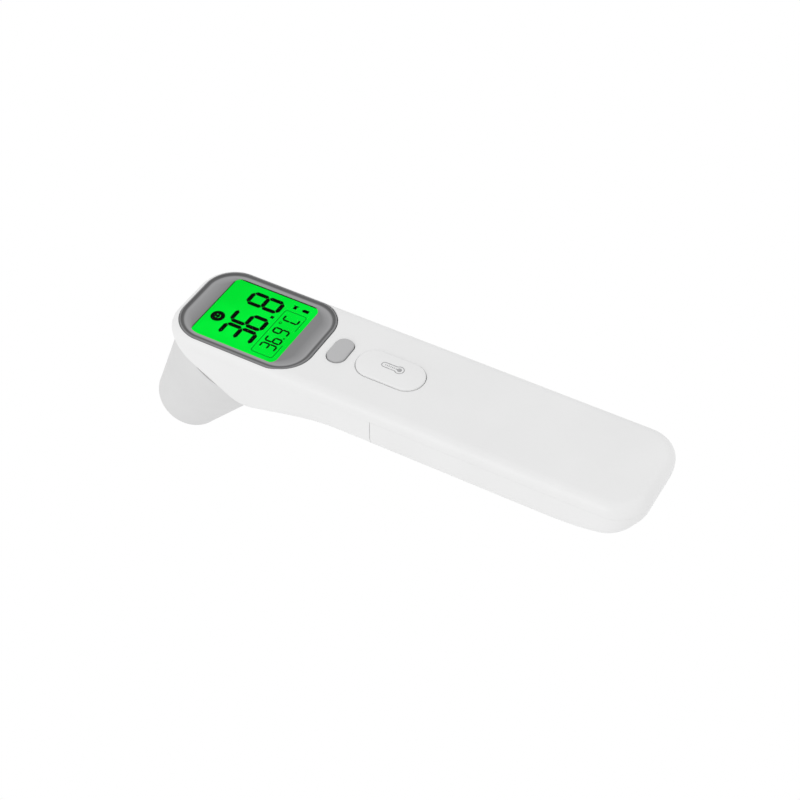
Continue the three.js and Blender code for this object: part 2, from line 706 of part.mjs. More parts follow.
/** A pan-head screw that goes up into the body: its head's underside is at z = seat, with a cross below. */
function screw(x, y, { r: shankR, seat, end }) {
  const headR = 2 * shankR;
  const headH = 0.9;
  const blank = turned([
    [0, seat - headH],
    [headR - 0.3, seat - headH],
    [headR, seat - headH + 0.3],
    [headR, seat],
    [shankR, seat],
    [shankR, end - 0.6],
    [shankR - 0.4, end],
    [0, end],
  ], { x, y, sides: 16 });
  const arm = headR * 0.6;
  const slotW = 0.2;
  const deep = seat - headH + 0.5;
  return cut(
    blank,
    box(x - arm, x + arm, y - slotW, y + slotW, seat - 5, deep),
    box(x - slotW, x + slotW, y - arm, y + arm, seat - 5, deep),
  );
}

// ---------------------------------------------------------------- assembly

const finishes = {
  white: { color: 0xf2f2f1, roughness: 0.35, metalness: 0 },
  capGrey: { color: 0xd6d6d6, roughness: 0.4, metalness: 0 },
  bezelGrey: { color: 0x8a8b8c, roughness: 0.35, metalness: 0 },
  buttonGrey: { color: 0xb8b9ba, roughness: 0.45, metalness: 0 },
  clear: { color: 0xffffff, roughness: 0.05, metalness: 0 },
  display: { color: 0x06e63c, roughness: 0.3, metalness: 0 },
  diffuser: { color: 0xe8f6e8, roughness: 0.5, metalness: 0 },
  innerPlastic: { color: 0x3a3c40, roughness: 0.6, metalness: 0 },
  rubber: { color: 0x4a4a4c, roughness: 0.85, metalness: 0 },
  board: { color: 0x1f6b3a, roughness: 0.5, metalness: 0 },
  component: { color: 0x1c1c1e, roughness: 0.5, metalness: 0 },
  steel: { color: 0xc9ccd0, roughness: 0.3, metalness: 1 },
  brass: { color: 0xc8a24a, roughness: 0.3, metalness: 1 },
  flex: { color: 0xc47a1e, roughness: 0.45, metalness: 0 },
  cellJacket: { color: 0x5f7f9c, roughness: 0.35, metalness: 0 },
  redLead: { color: 0xb82a22, roughness: 0.5, metalness: 0 },
  blackLead: { color: 0x1a1a1a, roughness: 0.5, metalness: 0 },
};

const thermometer = new THREE.Group();
thermometer.name = "thermometer";

/** Adds a solid to the assembly as a named mesh with one of the finishes. */
function addPart(name, finish, manifold) {
  const { vertProperties, triVerts } = manifold.getMesh();
  const points = vertProperties.map((value, i) => value + [-DATUM_X, 0, HANDLE_H][i % 3]);
  const geometry = new THREE.BufferGeometry();
  geometry.setAttribute("position", new THREE.BufferAttribute(points, 3));
  geometry.setIndex(new THREE.BufferAttribute(triVerts, 1));
  const mesh = new THREE.Mesh(geometry, new THREE.MeshStandardMaterial(finishes[finish]));
  mesh.name = name;
  thermometer.add(mesh);
}

addPart("front_shell", "white", frontShell());
addPart("rear_shell", "white", rearShell());
addPart("battery_door", "white", batteryDoor());

addPart("probe_cap", "capGrey", probeCap());
addPart("probe_housing", "white", probeHousing());
addPart("probe_retainer", "innerPlastic", probeRing(NECK_R + 0.2, 9.2, NECK_START, SEAT - WALL - 0.2));
addPart("probe_window", "clear", probeDisc(3.9, PROBE_TIP - 1.8, PROBE_TIP - 1.4));
addPart("sensor_sleeve", "brass", sensorSleeve());
addPart("thermopile_sensor", "steel", thermopile());
addPart("sensor_board", "board", probeDisc(SENSOR_BOARD.r, SENSOR_BOARD.start, SENSOR_BOARD.end));
addPart("sensor_cable", "flex", sensorCable());

addPart("display_bezel", "bezelGrey", displayBezel());
addPart("display_window", "clear", displayWindow());
addPart("lcd_glass", "display", lcdGlass());
addPart("lcd_backlight", "diffuser", lcdBacklight());
addPart("lcd_holder", "innerPlastic", lcdHolder());
addPart("lcd_connector", "rubber", lcdConnector());

addPart("main_board", "board", mainBoard());
addPart("controller_chip", "component", chip(13, -4, 9, 9, 1.3));
addPart("amplifier_chip", "component", chip(4, 7, 5, 4, 1.3));
addPart("buzzer", "component", buzzer());

addPart("mode_button", "buttonGrey", button(MODE));
addPart("mode_switch", "component", switchBody(MODE));
addPart("mode_switch_plunger", "rubber", switchPlunger(MODE));
addPart("scan_button", "white", button(SCAN));
addPart("scan_switch", "component", switchBody(SCAN));
addPart("scan_switch_plunger", "rubber", switchPlunger(SCAN));

addPart("battery_1", "cellJacket", cell(67.4, CELL_Y, -1));
addPart("battery_2", "cellJacket", cell(72.4, -CELL_Y, 1));
addPart("plus_contact", "steel", frontContact(CELL_Y));
addPart("minus_contact", "steel", minusContact());
addPart("bridge_contact", "steel", bridgeContact());
addPart("plus_lead", "redLead", lead(1));
addPart("minus_lead", "blackLead", lead(-1));

const caseScrews = [LONG_SCREWS, SHORT_SCREWS].flatMap((pair) => bothScrews(pair, screw));
caseScrews.forEach((body, i) => addPart(`case_screw_${i + 1}`, "steel", body));
bothScrews(BOARD_SCREWS, screw).forEach((body, i) => addPart(`board_screw_${i + 1}`, "steel", body));

export default thermometer;
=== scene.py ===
"""Looks of a handheld infrared thermometer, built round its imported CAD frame.

Shapes are drawn in millimetres from the centre of the display, in the plane of the top face: +X towards the
handle's end, +Y to the right of someone reading the display, +Z out of the display. finished() moves them to
the frame's own origin on the handle's back, in metres.
"""

import json
import math

import bpy
from mathutils import Matrix, Vector


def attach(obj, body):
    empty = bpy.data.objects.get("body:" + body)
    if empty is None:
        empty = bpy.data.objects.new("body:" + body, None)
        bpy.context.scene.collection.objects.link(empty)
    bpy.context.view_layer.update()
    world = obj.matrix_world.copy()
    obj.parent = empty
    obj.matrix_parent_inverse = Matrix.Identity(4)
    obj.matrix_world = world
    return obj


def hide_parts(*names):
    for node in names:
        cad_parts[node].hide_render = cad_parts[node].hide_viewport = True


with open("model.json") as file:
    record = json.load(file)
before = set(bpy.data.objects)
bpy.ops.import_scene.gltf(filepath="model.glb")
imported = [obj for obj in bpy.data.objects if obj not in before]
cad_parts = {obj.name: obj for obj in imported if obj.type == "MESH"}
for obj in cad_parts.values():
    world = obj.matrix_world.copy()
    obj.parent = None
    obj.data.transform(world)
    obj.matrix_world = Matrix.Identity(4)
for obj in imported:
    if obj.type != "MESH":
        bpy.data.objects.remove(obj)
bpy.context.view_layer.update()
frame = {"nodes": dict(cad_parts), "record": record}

# ---------------------------------------------------------------- dimensions, in millimetres

DATUM_X, HANDLE_H = 90, 17
FRONT_X, END_X, BODY_W = -25.6, 134.9, 36.5
HEAD_CORNER_R, END_CORNER_R = 12, 10.5
TOP_EDGE_R, HEAD_EDGE_R, HANDLE_EDGE_R = 3.6, 2, 7
END_RISE_LENGTH, END_RISE_CORNER, END_RISE_Z = 29, 0.3, -4.9
CHIN_X, NECK_END_X, DOOR_X = 3, 38, 50
CHIN_BEFORE, CHIN_AFTER = 3.5, 5  # reach of the chin's bend either way
SEAM_Z = -4.1
WALL, FRONT_WALL = 1.6, 2.5
GAP, FINE_GAP, DOOR_GAP = 0.3, 0.03, 0.16
LIP = 0.22  # rounding of the edges round the openings in the casing
BEZEL_CLEAR, MODE_CLEAR, SCAN_CLEAR = 0.18, 0.2, 0.14  # room round each piece in its opening
BEZEL_EDGE = -0.06  # height of the display opening's edge
FAR = 200
SHARP = math.radians(32)  # edges bent more than this are shown sharp

PROBE_TILT = math.radians(32)
SEAT, CAP_R, CAP_TIP, CAP_TIP_R = 16.3, 18, 57, 11.5
CAP_SHOULDER_R, CAP_SHOULDER = 17.5, 24
CAP_WALL, CAP_HOLE_R = 1.5, 5
PROBE_TIP, NECK_R, NECK_START = 53.5, 7.6, 12.9

BEZEL_X, BEZEL_Y, BEZEL_R, BEZEL_TOP, BEZEL_LOW = 23, 16.5, 10.4, 0.35, -2
BEZEL_SAG = 0.7  # its long sides sit this much lower than its middle
SCREEN_X, SCREEN_HALF_X, SCREEN_HALF_Y, SCREEN_R = -1.2, 15.3, 14, 2.6
WINDOW_TOP, WINDOW_T, WINDOW_R = -1.2, 0.6, 2.2
LCD_X0, LCD_X1, LCD_Y, LCD_TOP, LCD_T = -16.9, 18, 14.5, -2, 1.4

MODE = {"x": 29.4, "length": 6, "width": 10.4, "r": 2.9, "top": 1.1, "crown": 0.25}
SCAN = {"x": 46.8, "length": 22.4, "width": 11.6, "r": 5.6, "top": 0.95, "crown": 0.3}
BUTTON_EDGE, FLANGE = 0.6, 0.8
PLUNGER_TOP = -3

CELL_R, CELL_L, CELL_Y, CELL_Z = 5.25, 44.5, 5.6, -9.4
CELL_1_X, CELL_2_X = 67.4, 72.4
CELL_BAND = 9
BAY_X0, BAY_X1, BAY_Y, BAY_TOP = 66, 118.6, 11.4, -4.1
TRAY_X0, TRAY_X1, TRAY_TOP, TRAY_INSET, TRAY_WALL = 47, 121, -3, 2.1, 1.3
RAIL_X0, RAIL_X1, RAIL_Z0, RAIL_Z1, RAIL_INSET = 70, 117.5, -10.5, -9.7, 2.7
RAIL_ROOM = 0.4  # over and under each rail in its groove
LEAF_T, LEAF_BELOW, LEAF_ABOVE = 0.5, 4, 4.6
SPRING_R, WIRE_R, SPRING_TURNS = 3.6, 0.3, 3.5
MINUS_SPRING_X, BRIDGE_SPRING_X = 72.0, 112.3  # where the springs meet the cells
LONG_SCREWS = {"x": 58.5, "y": 10.9, "boss": -12.6, "seat": -13.8, "end": -6.2}
SHORT_SCREWS = {"x": 126, "y": 7, "boss": -8.7, "seat": -10.6, "end": -4.5}
SCREW_R, SCREW_CLEAR, BOSS_CLEAR, BOSS_R = 0.95, 0.25, 0.2, 2.6
SCREW_PITCH = 0.55


# ---------------------------------------------------------------- meshes

def mesh_object(name, points, faces):
    """An object from points and faces."""
    mesh = bpy.data.meshes.new(name)
    mesh.from_pydata([tuple(point) for point in points], [], faces)
    mesh.update()
    made = bpy.data.objects.new(name, mesh)
    bpy.context.scene.collection.objects.link(made)
    return made


def loft(name, rings):
    """A closed solid through rings with the same even number of points, which turn left about the way on."""
    count = len(rings[0])
    points = [point for ring in rings for point in ring]
    faces = []
    for start in range(0, (len(rings) - 1) * count, count):
        for i in range(count):
            a, b = start + i, start + (i + 1) % count
            faces.append((a, b, b + count, a + count))
    last = (len(rings) - 1) * count
    for i in range(count // 2 - 1):
        a, b, c, d = i, i + 1, count - 2 - i, count - 1 - i
        faces.append((d, c, b, a))
        faces.append((last + a, last + b, last + c, last + d))
    return mesh_object(name, points, faces)


def box(x0, x1, y0, y1, z0, z1):
    ring = [(x0, y0), (x1, y0), (x1, y1), (x0, y1)]
    return loft("box", [[(x, y, z) for x, y in ring] for z in (z0, z1)])


def turned(name, profile, sides=96):
    """A round solid about Z. Its profile's (radius, z) points go up on the outside; radius 0 is a pole."""
    points, rings, faces = [], [], []
    for r, z in profile:
        if r < 1e-9:
            rings.append([len(points)] * sides)
            points.append((0, 0, z))
        else:
            turns = [2 * math.pi * i / sides for i in range(sides)]
            rings.append(list(range(len(points), len(points) + sides)))
            points.extend((r * math.cos(t), r * math.sin(t), z) for t in turns)
    for low, high in zip(rings, rings[1:]):
        for i in range(sides):
            j = (i + 1) % sides
            corners = [low[i], low[j], high[j], high[i]]
            faces.append(tuple(dict.fromkeys(corners)))
    return mesh_object(name, points, [face for face in faces if len(face) > 2])


def closed_profile(name, profile, sides=96):
    """A round solid whose profile is a closed loop away from the axis."""
    count = len(profile)
    points = []
    for i in range(sides):
        turn = 2 * math.pi * i / sides
        points.extend((r * math.cos(turn), r * math.sin(turn), z) for r, z in profile)
    faces = []
    for i in range(sides):
        here, there = i * count, (i + 1) % sides * count
        for k in range(count):
            after = (k + 1) % count
            faces.append((here + k, there + k, there + after, here + after))
    return mesh_object(name, points, faces)


def tube(name, path, r, sides=12):
    """A wire of radius r along a list of points."""
    path = [Vector(point) for point in path]
    rings = []
    side = Vector((0, 0, 1))
    for i, point in enumerate(path):
        along = (path[min(i + 1, len(path) - 1)] - path[max(i - 1, 0)]).normalized()
        side = (side - along * side.dot(along)).normalized()
        other = along.cross(side)
        turns = [2 * math.pi * k / sides for k in range(sides)]
        rings.append([point + side * r * math.cos(t) + other * r * math.sin(t) for t in turns])
    return loft(name, rings)


def placed(made, matrix):
    """Moves a mesh's own points."""
    made.data.transform(matrix)
    return made


def baked(made):
    """The object with its modifiers applied."""
    graph = bpy.context.evaluated_depsgraph_get()
    mesh = bpy.data.meshes.new_from_object(made.evaluated_get(graph))
    made.modifiers.clear()
    made.data = mesh
    return made


def combined(operation, base, tools):
    """The base solid with each tool cut out of it, added to it or kept inside it. The tools are used up."""
    for tool in tools:
        step = base.modifiers.new(operation, "BOOLEAN")
        step.operation = operation
        step.solver = "MANIFOLD"
        step.object = tool
        baked(base)
        bpy.data.objects.remove(tool)
    return base


def cut(base, *tools):
    return combined("DIFFERENCE", base, tools)


def join(base, *tools):
    return combined("UNION", base, tools)


def inside(base, *tools):
    return combined("INTERSECT", base, tools)


def finished(made, name, stands_for, body, slot, look=None):
    """Gives a piece its name, its place in the frame and its finish: its slot's, or the one look names."""
    placed(made, Matrix.Scale(0.001, 4) @ Matrix.Translation((-DATUM_X, 0, HANDLE_H)))
    made.name = name
    made.data.name = name
    made.data.materials.clear()
    made.data.materials.append(MATERIALS[look or slot])
    made.data.shade_smooth()
    made.data.set_sharp_from_angle(angle=SHARP)
    weighted = made.modifiers.new("weighted", "WEIGHTED_NORMAL")
    weighted.keep_sharp = True
    weighted.weight = 80
    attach(made, body)
    if stands_for:
        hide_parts(stands_for)
    return made


# ---------------------------------------------------------------- the casing's form

def slant_z(x):
    """Height of the slanted face under the head."""
    return -(SEAT + x * math.sin(PROBE_TILT)) / math.cos(PROBE_TILT)


def bezier(points, steps):
    """Points of a quadratic or cubic curve after its first point."""
    made = []
    for i in range(1, steps + 1):
        level = [Vector(point) for point in points]
        while len(level) > 1:
            level = [a.lerp(b, i / steps) for a, b in zip(level, level[1:])]
        made.append(level[0])
    return made


def underside(inset):
    """The underside seen from the side, as a function that gives its height at x."""
    chin_z = slant_z(CHIN_X)
    bend = (CHIN_X - CHIN_BEFORE, slant_z(CHIN_X - CHIN_BEFORE))
    chin_end = (CHIN_X + CHIN_AFTER, chin_z + 0.9)
    neck_end, rise = (NECK_END_X, -HANDLE_H), (END_X - END_RISE_LENGTH, -HANDLE_H)
    path = [Vector((FRONT_X - WALL, slant_z(FRONT_X - WALL))), Vector(bend)]
    path += bezier([bend, (CHIN_X, chin_z), chin_end], 40)
    path += bezier([chin_end, (CHIN_X + 13, chin_z + 2.4), (NECK_END_X - 12, -HANDLE_H), neck_end], 60)
    path.append(Vector(rise))
    path += bezier([rise, (END_X - END_RISE_CORNER, -HANDLE_H), (END_X, END_RISE_Z)], 60)
    moved = []
    for i, point in enumerate(path):
        along = (path[min(i + 1, len(path) - 1)] - path[max(i - 1, 0)]).normalized()
        moved.append((point.x - along.y * inset, point.y + along.x * inset))

    def height(x):
        for before, after in zip(moved, moved[1:]):
            if before[0] <= x <= after[0]:
                share = (x - before[0]) / (after[0] - before[0])
                return before[1] + share * (after[1] - before[1])
        return moved[0][1] if x < moved[0][0] else moved[-1][1]

    return height


def edge_drop(distance, r):
    """How far a rounded edge stands off from the flat, at a distance in from the edge."""
    left = r - min(max(distance, 0), r)
    return r - math.sqrt(r * r - left * left)


def edge_steps(r, steps):
    """Distances in from a rounded edge that divide its quarter turn evenly."""
    return [r * (1 - math.cos(math.pi / 2 * i / steps)) for i in range(steps + 1)]


def spaced(start, end, steps):
    return [start + (end - start) * i / steps for i in range(steps)]


def casing(inset=0.0, fine=24):
    """The whole casing as one solid form, inset from its outer surface."""
    front, end, half = FRONT_X + FRONT_WALL * inset, END_X - inset, BODY_W / 2 - inset
    head_r, end_r, top_r = HEAD_CORNER_R - inset, END_CORNER_R - inset, max(TOP_EDGE_R - inset, 0.5)
    low = underside(inset)

    def half_width(x):
        into_head, into_end = max(front + head_r - x, 0), max(x - end + end_r, 0)
        r = head_r if into_head > 0 else end_r
        return half - r + math.sqrt(max(r * r - max(into_head, into_end) ** 2, 0))

    def top_z(_x, _y, d):
        return -inset - edge_drop(d, top_r)

    def bottom_z(x, y, _d):
        level = min(low(x), -inset - top_r - 0.3)
        share = min(max((x - CHIN_X) / (NECK_END_X - CHIN_X), 0), 1)
        share = share * share * (3 - 2 * share)
        r = max(HEAD_EDGE_R + (HANDLE_EDGE_R - HEAD_EDGE_R) * share - inset, 0.5)
        room = -inset - top_r - 0.1 - level
        return level + edge_drop(half_width(x) - abs(y), min(r, room))

    chin_start, chin_end, rise = CHIN_X - CHIN_BEFORE, CHIN_X + CHIN_AFTER, END_X - END_RISE_LENGTH
    stations = spaced(front + head_r + 1, chin_start, 4) + spaced(chin_start, chin_end, fine // 2)
    stations += spaced(chin_end, NECK_END_X, 2 * fine) + spaced(NECK_END_X, rise, 12)
    stations += spaced(rise, end - end_r - 0.5, fine)

    def ring(d, height):
        side = []
        for i in range(fine + 1):
            turn = math.pi - math.pi / 2 * i / fine
            side.append((
                front + head_r + (head_r - d) * math.cos(turn),
                half - head_r + (head_r - d) * math.sin(turn),
            ))
        side += [(x, half - d) for x in stations]
        for i in range(fine + 1):
            turn = math.pi / 2 - math.pi / 2 * i / fine
            side.append((
                end - end_r + (end_r - d) * math.cos(turn),
                half - end_r + (end_r - d) * math.sin(turn),
            ))
        loop = side + [(x, -y) for x, y in reversed(side)]
        return [(x, y, height(x, y, d)) for x, y in loop]

    top = [ring(d, top_z) for d in reversed(edge_steps(top_r, fine // 2))]
    bottom = [ring(d, bottom_z) for d in edge_steps(max(HANDLE_EDGE_R - inset, 1), fine)]
    return loft("casing", top + bottom)


def walls():
    return cut(casing(), casing(WALL, 12))


def beside_seam(side, gap):
    edge = SEAM_Z + side * gap / 2
    if side > 0:
        return box(-FAR, FAR, -FAR, FAR, edge, FAR)
    return box(-FAR, FAR, -FAR, FAR, -FAR, edge)


def level_ring(cx, half_x, half_y, r, z, fine=20):
    """A rounded rectangle about x = cx as a level ring."""
    ring = []
    for corner, (sx, sy) in enumerate([(1, -1), (1, 1), (-1, 1), (-1, -1)]):
        for i in range(fine + 1):
            turn = (corner - 1 + i / fine) * math.pi / 2
            x = cx + sx * (half_x - r) + r * math.cos(turn)
            y = sy * (half_y - r) + r * math.sin(turn)
            ring.append((x, y, z))
    return ring


def opening(cx, half_x, half_y, r, clear, edge=0.0):
    """A tool that cuts a rounded rectangular hole in the top face and rounds the hole's edge."""
    steps = [(0, -WALL - 1)]
    for i in range(7):
        turn = math.pi / 2 * i / 6
        steps.append((LIP * (1 - math.cos(turn)), edge - LIP + LIP * math.sin(turn)))
    steps.append((LIP, 3))
    grown = [(clear + out, z) for out, z in steps]
    return loft("opening", [level_ring(cx, half_x + g, half_y + g, r + g, z) for g, z in grown])


def cylinder(x, y, r, low, high, sides=40):
    made = turned("cylinder", [(0, low), (r, low), (r, high), (0, high)], sides)
    return placed(made, Matrix.Translation((x, y, 0)))


def both(pair):
    return [(pair["x"], side * pair["y"]) for side in (1, -1)]


def probe_placed(made):
    """Puts a round piece, drawn about Z, on the probe's axis."""
    tilt = Matrix((
        (math.cos(PROBE_TILT), 0, -math.sin(PROBE_TILT), 0),
        (0, -1, 0, 0),
        (-math.sin(PROBE_TILT), 0, -math.cos(PROBE_TILT), 0),
        (0, 0, 0, 1),
    ))
    return placed(made, tilt)


def along_x(made, x, y, z, facing=1):
    """Lays a round piece, drawn about Z, along X."""
    turn = Matrix.Rotation(facing * math.pi / 2, 4, "Y")
    return placed(made, Matrix.Translation((x, y, z)) @ turn)


# ---------------------------------------------------------------- materials

def shader(name):
    """A new node material, its node tree and its principled shader."""
    material = bpy.data.materials.new(name)
    material.use_nodes = True
    tree = material.node_tree
    return material, tree, tree.nodes["Principled BSDF"]


def noise(tree, scale, detail=3.0, stretch=(1, 1, 1)):
    """Noise in the piece's own coordinates, in features per metre."""
    place = tree.nodes.new("ShaderNodeTexCoord")
    size = tree.nodes.new("ShaderNodeMapping")
    size.inputs["Scale"].default_value = stretch
    texture = tree.nodes.new("ShaderNodeTexNoise")
    texture.inputs["Scale"].default_value = scale
    texture.inputs["Detail"].default_value = detail
    tree.links.new(place.outputs["Object"], size.inputs["Vector"])
    tree.links.new(size.outputs["Vector"], texture.inputs["Vector"])
    return texture.outputs["Fac"]


def spread(tree, value, low, high):
    """Stretches a noise value over a range."""
    ranged = tree.nodes.new("ShaderNodeMapRange")
    ranged.inputs["From Min"].default_value = 0.3
    ranged.inputs["From Max"].default_value = 0.7
    ranged.inputs["To Min"].default_value = low
    ranged.inputs["To Max"].default_value = high
    tree.links.new(value, ranged.inputs["Value"])
    return ranged.outputs["Result"]


def mottled(tree, value, dark, light):
    """A colour that drifts between two tones."""
    ramp = tree.nodes.new("ShaderNodeValToRGB")
    ramp.color_ramp.elements[0].position = 0.3
    ramp.color_ramp.elements[0].color = (*dark, 1)
    ramp.color_ramp.elements[1].position = 0.7
    ramp.color_ramp.elements[1].color = (*light, 1)
    tree.links.new(value, ramp.inputs["Fac"])
    return ramp.outputs["Color"]


def bumped(tree, surface, height, strength, distance):
    bump = tree.nodes.new("ShaderNodeBump")
    bump.inputs["Strength"].default_value = strength
    bump.inputs["Distance"].default_value = distance
    tree.links.new(height, bump.inputs["Height"])
    tree.links.new(bump.outputs["Normal"], surface.inputs["Normal"])


def moulded(name, colour, rough, grain=0.25, tone=0.012, coat=0.0):
    """Moulded plastic: a faint drift of tone, uneven gloss and a fine spark-eroded grain."""
    material, tree, surface = shader(name)
    dark = tuple(max(channel - tone, 0) for channel in colour)
    light = tuple(min(channel + tone, 1) for channel in colour)
    tree.links.new(mottled(tree, noise(tree, 45), dark, light), surface.inputs["Base Color"])
    tree.links.new(spread(tree, noise(tree, 160), rough - 0.05, rough + 0.05), surface.inputs["Roughness"])
    bumped(tree, surface, noise(tree, 9000, 2.0), grain, 0.00002)
    surface.inputs["IOR"].default_value = 1.5
    surface.inputs["Coat Weight"].default_value = coat
    return material


def metal(name, colour, rough, stretch=(1, 1, 1)):
    """Plated or turned metal with fine scratches, which a stretch draws out or packs along an axis."""
    material, tree, surface = shader(name)
    dark = tuple(channel * 0.9 for channel in colour)
    tree.links.new(mottled(tree, noise(tree, 300, 4.0, stretch), dark, colour), surface.inputs["Base Color"])
    scratches = noise(tree, 2500, 4.0, stretch)
    tree.links.new(spread(tree, scratches, rough - 0.07, rough + 0.1), surface.inputs["Roughness"])
    bumped(tree, surface, scratches, 0.25, 0.00001)
    surface.inputs["Metallic"].default_value = 1
    return material


def bezel_grey_with_painted_light():
    """Silver-grey paint over the bezel, with painted shade in the step inside the rim and a painted
    highlight on the band beside it, then plain grey.
    """
    material, tree, surface = shader("bezel_grey")
    place = tree.nodes.new("ShaderNodeAttribute")
    place.attribute_name = "inset"
    reach = 8  # millimetres in from the rim at the ramp's end
    share = tree.nodes.new("ShaderNodeMath")
    share.operation = "DIVIDE"
    share.inputs[1].default_value = reach
    # grey rim, painted shade in the step (0.6 to 1.3 in), painted highlight beside it (1.75 to 2.3 in), then
    # the face's grey
    tones = [(0, 0.21), (0.4, 0.21), (0.6, 0.085), (1.3, 0.095), (1.75, 0.31), (2.3, 0.32), (3.7, 0.205)]
    ramp = tree.nodes.new("ShaderNodeValToRGB")
    steps = ramp.color_ramp.elements
    steps[1].position = tones[-1][0] / reach
    for inset, _ in tones[1:-1]:
        steps.new(inset / reach)
    for step, (_, grey) in zip(steps, tones):
        step.color = (grey, grey, grey * 1.02, 1)
    tree.links.new(place.outputs["Fac"], share.inputs[0])
    tree.links.new(share.outputs["Value"], ramp.inputs["Fac"])
    tree.links.new(ramp.outputs["Color"], surface.inputs["Base Color"])
    tree.links.new(spread(tree, noise(tree, 160), 0.28, 0.38), surface.inputs["Roughness"])
    bumped(tree, surface, noise(tree, 9000, 2.0), 0.15, 0.00002)
    return material


def window_clear():
    """Clear polished acrylic: almost everything passes, with a trace of reflection."""
    material, tree, surface = shader("window_clear")
    surface.inputs["Base Color"].default_value = (0.95, 0.97, 0.96, 1)
    surface.inputs["Roughness"].default_value = 0.03
    clear = tree.nodes.new("ShaderNodeBsdfTransparent")
    glare = tree.nodes.new("ShaderNodeFresnel")
    glare.inputs["IOR"].default_value = 1.03
    mix = tree.nodes.new("ShaderNodeMixShader")
    tree.links.new(glare.outputs["Fac"], mix.inputs["Fac"])
    tree.links.new(clear.outputs["BSDF"], mix.inputs[1])
    tree.links.new(surface.outputs["BSDF"], mix.inputs[2])
    tree.links.new(mix.outputs["Shader"], tree.nodes["Material Output"].inputs["Surface"])
    return material


def display_green():
    """Backlit liquid crystal: a green glow that drifts very slightly in strength."""
    material, tree, surface = shader("display_green")
    surface.inputs["Base Color"].default_value = (0.001, 0.02, 0.003, 1)
    surface.inputs["Roughness"].default_value = 0.3
    surface.inputs["Specular IOR Level"].default_value = 0.0
    glow = mottled(tree, noise(tree, 60, 2.0), (0.0, 0.74, 0.03), (0.0, 0.86, 0.04))
    tree.links.new(glow, surface.inputs["Emission Color"])
    surface.inputs["Emission Strength"].default_value = 1.0
    return material


def printed_ink(name, colour):
    """Printed or liquid-crystal black, with slightly uneven cover."""
    material, tree, surface = shader(name)
    light = tuple(channel * 1.6 for channel in colour)
    tree.links.new(mottled(tree, noise(tree, 900), colour, light), surface.inputs["Base Color"])
    tree.links.new(spread(tree, noise(tree, 500), 0.4, 0.6), surface.inputs["Roughness"])
    surface.inputs["Specular IOR Level"].default_value = 0.02
    return material


def solder_mask():
    """Green board lacquer over copper tracks that show as a slightly raised, lighter net."""
    material, tree, surface = shader("board_green")
    place = tree.nodes.new("ShaderNodeTexCoord")
    tracks = tree.nodes.new("ShaderNodeTexBrick")
    tracks.inputs["Scale"].default_value = 420
    tracks.inputs["Mortar Size"].default_value = 0.012
    tracks.inputs["Color1"].default_value = (0.012, 0.085, 0.03, 1)
    tracks.inputs["Color2"].default_value = (0.014, 0.095, 0.034, 1)
    tracks.inputs["Mortar"].default_value = (0.03, 0.17, 0.06, 1)
    tree.links.new(place.outputs["Object"], tracks.inputs["Vector"])
    tree.links.new(tracks.outputs["Color"], surface.inputs["Base Color"])
    bumped(tree, surface, tracks.outputs["Fac"], 0.3, 0.00003)
    surface.inputs["Roughness"].default_value = 0.32
    return material


def cell_jacket():
    """Printed film round a cell, plain blue-grey."""
    material, tree, surface = shader("cell_jacket")
    drift = mottled(tree, noise(tree, 120), (0.085, 0.17, 0.28), (0.095, 0.19, 0.31))
    tree.links.new(drift, surface.inputs["Base Color"])
    tree.links.new(spread(tree, noise(tree, 700), 0.22, 0.34), surface.inputs["Roughness"])
    bumped(tree, surface, noise(tree, 1500), 0.1, 0.00002)
    surface.inputs["Coat Weight"].default_value = 0.4
    return material


MATERIALS = {
    "white_casing": moulded("white_casing", (0.83, 0.83, 0.83), 0.36),
    "cap_grey": moulded("cap_grey", (0.685, 0.685, 0.685), 0.42),
    "probe_white": moulded("probe_white", (0.80, 0.80, 0.80), 0.3),
    "bezel_grey": bezel_grey_with_painted_light(),
    "button_grey": moulded("button_grey", (0.47, 0.47, 0.475), 0.45),
    "button_mark": printed_ink("button_mark", (0.30, 0.30, 0.305)),
    "window_clear": window_clear(),
    "display_green": display_green(),
    "display_black": printed_ink("display_black", (0.0008, 0.0016, 0.001)),
    "display_faint": printed_ink("display_faint", (0.001, 0.09, 0.012)),
    "diffuser": moulded("diffuser", (0.70, 0.83, 0.70), 0.5),
    "inner_plastic": moulded("inner_plastic", (0.04, 0.042, 0.05), 0.55, 0.5, 0.004),
    "rubber_dark": moulded("rubber_dark", (0.035, 0.035, 0.037), 0.85, 0.6, 0.004),
    "board_green": solder_mask(),
    "component_black": moulded("component_black", (0.012, 0.012, 0.013), 0.5, 0.6, 0.003),
    "plated_steel": metal("plated_steel", (0.62, 0.63, 0.65), 0.26),
    "brass_sleeve": metal("brass_sleeve", (0.72, 0.50, 0.18), 0.26, (1, 1, 12)),
    "flex_amber": moulded("flex_amber", (0.48, 0.16, 0.012), 0.35, 0.2, 0.02),
    "cell_jacket": cell_jacket(),
    "cell_band": moulded("cell_band", (0.60, 0.33, 0.14), 0.3, 0.1, 0.02, 0.4),
    "lead_red": moulded("lead_red", (0.45, 0.02, 0.015), 0.45, 0.3, 0.02),
    "lead_black": moulded("lead_black", (0.012, 0.012, 0.012), 0.45, 0.3, 0.003),
}

# ---------------------------------------------------------------- casing

def screw_boss(x, y, r, end):
    hole = cylinder(x, y, SCREW_R + BOSS_CLEAR, end - 1, end + 6, 24)
    return cut(cylinder(x, y, r, end, -WALL + 0.4), hole)


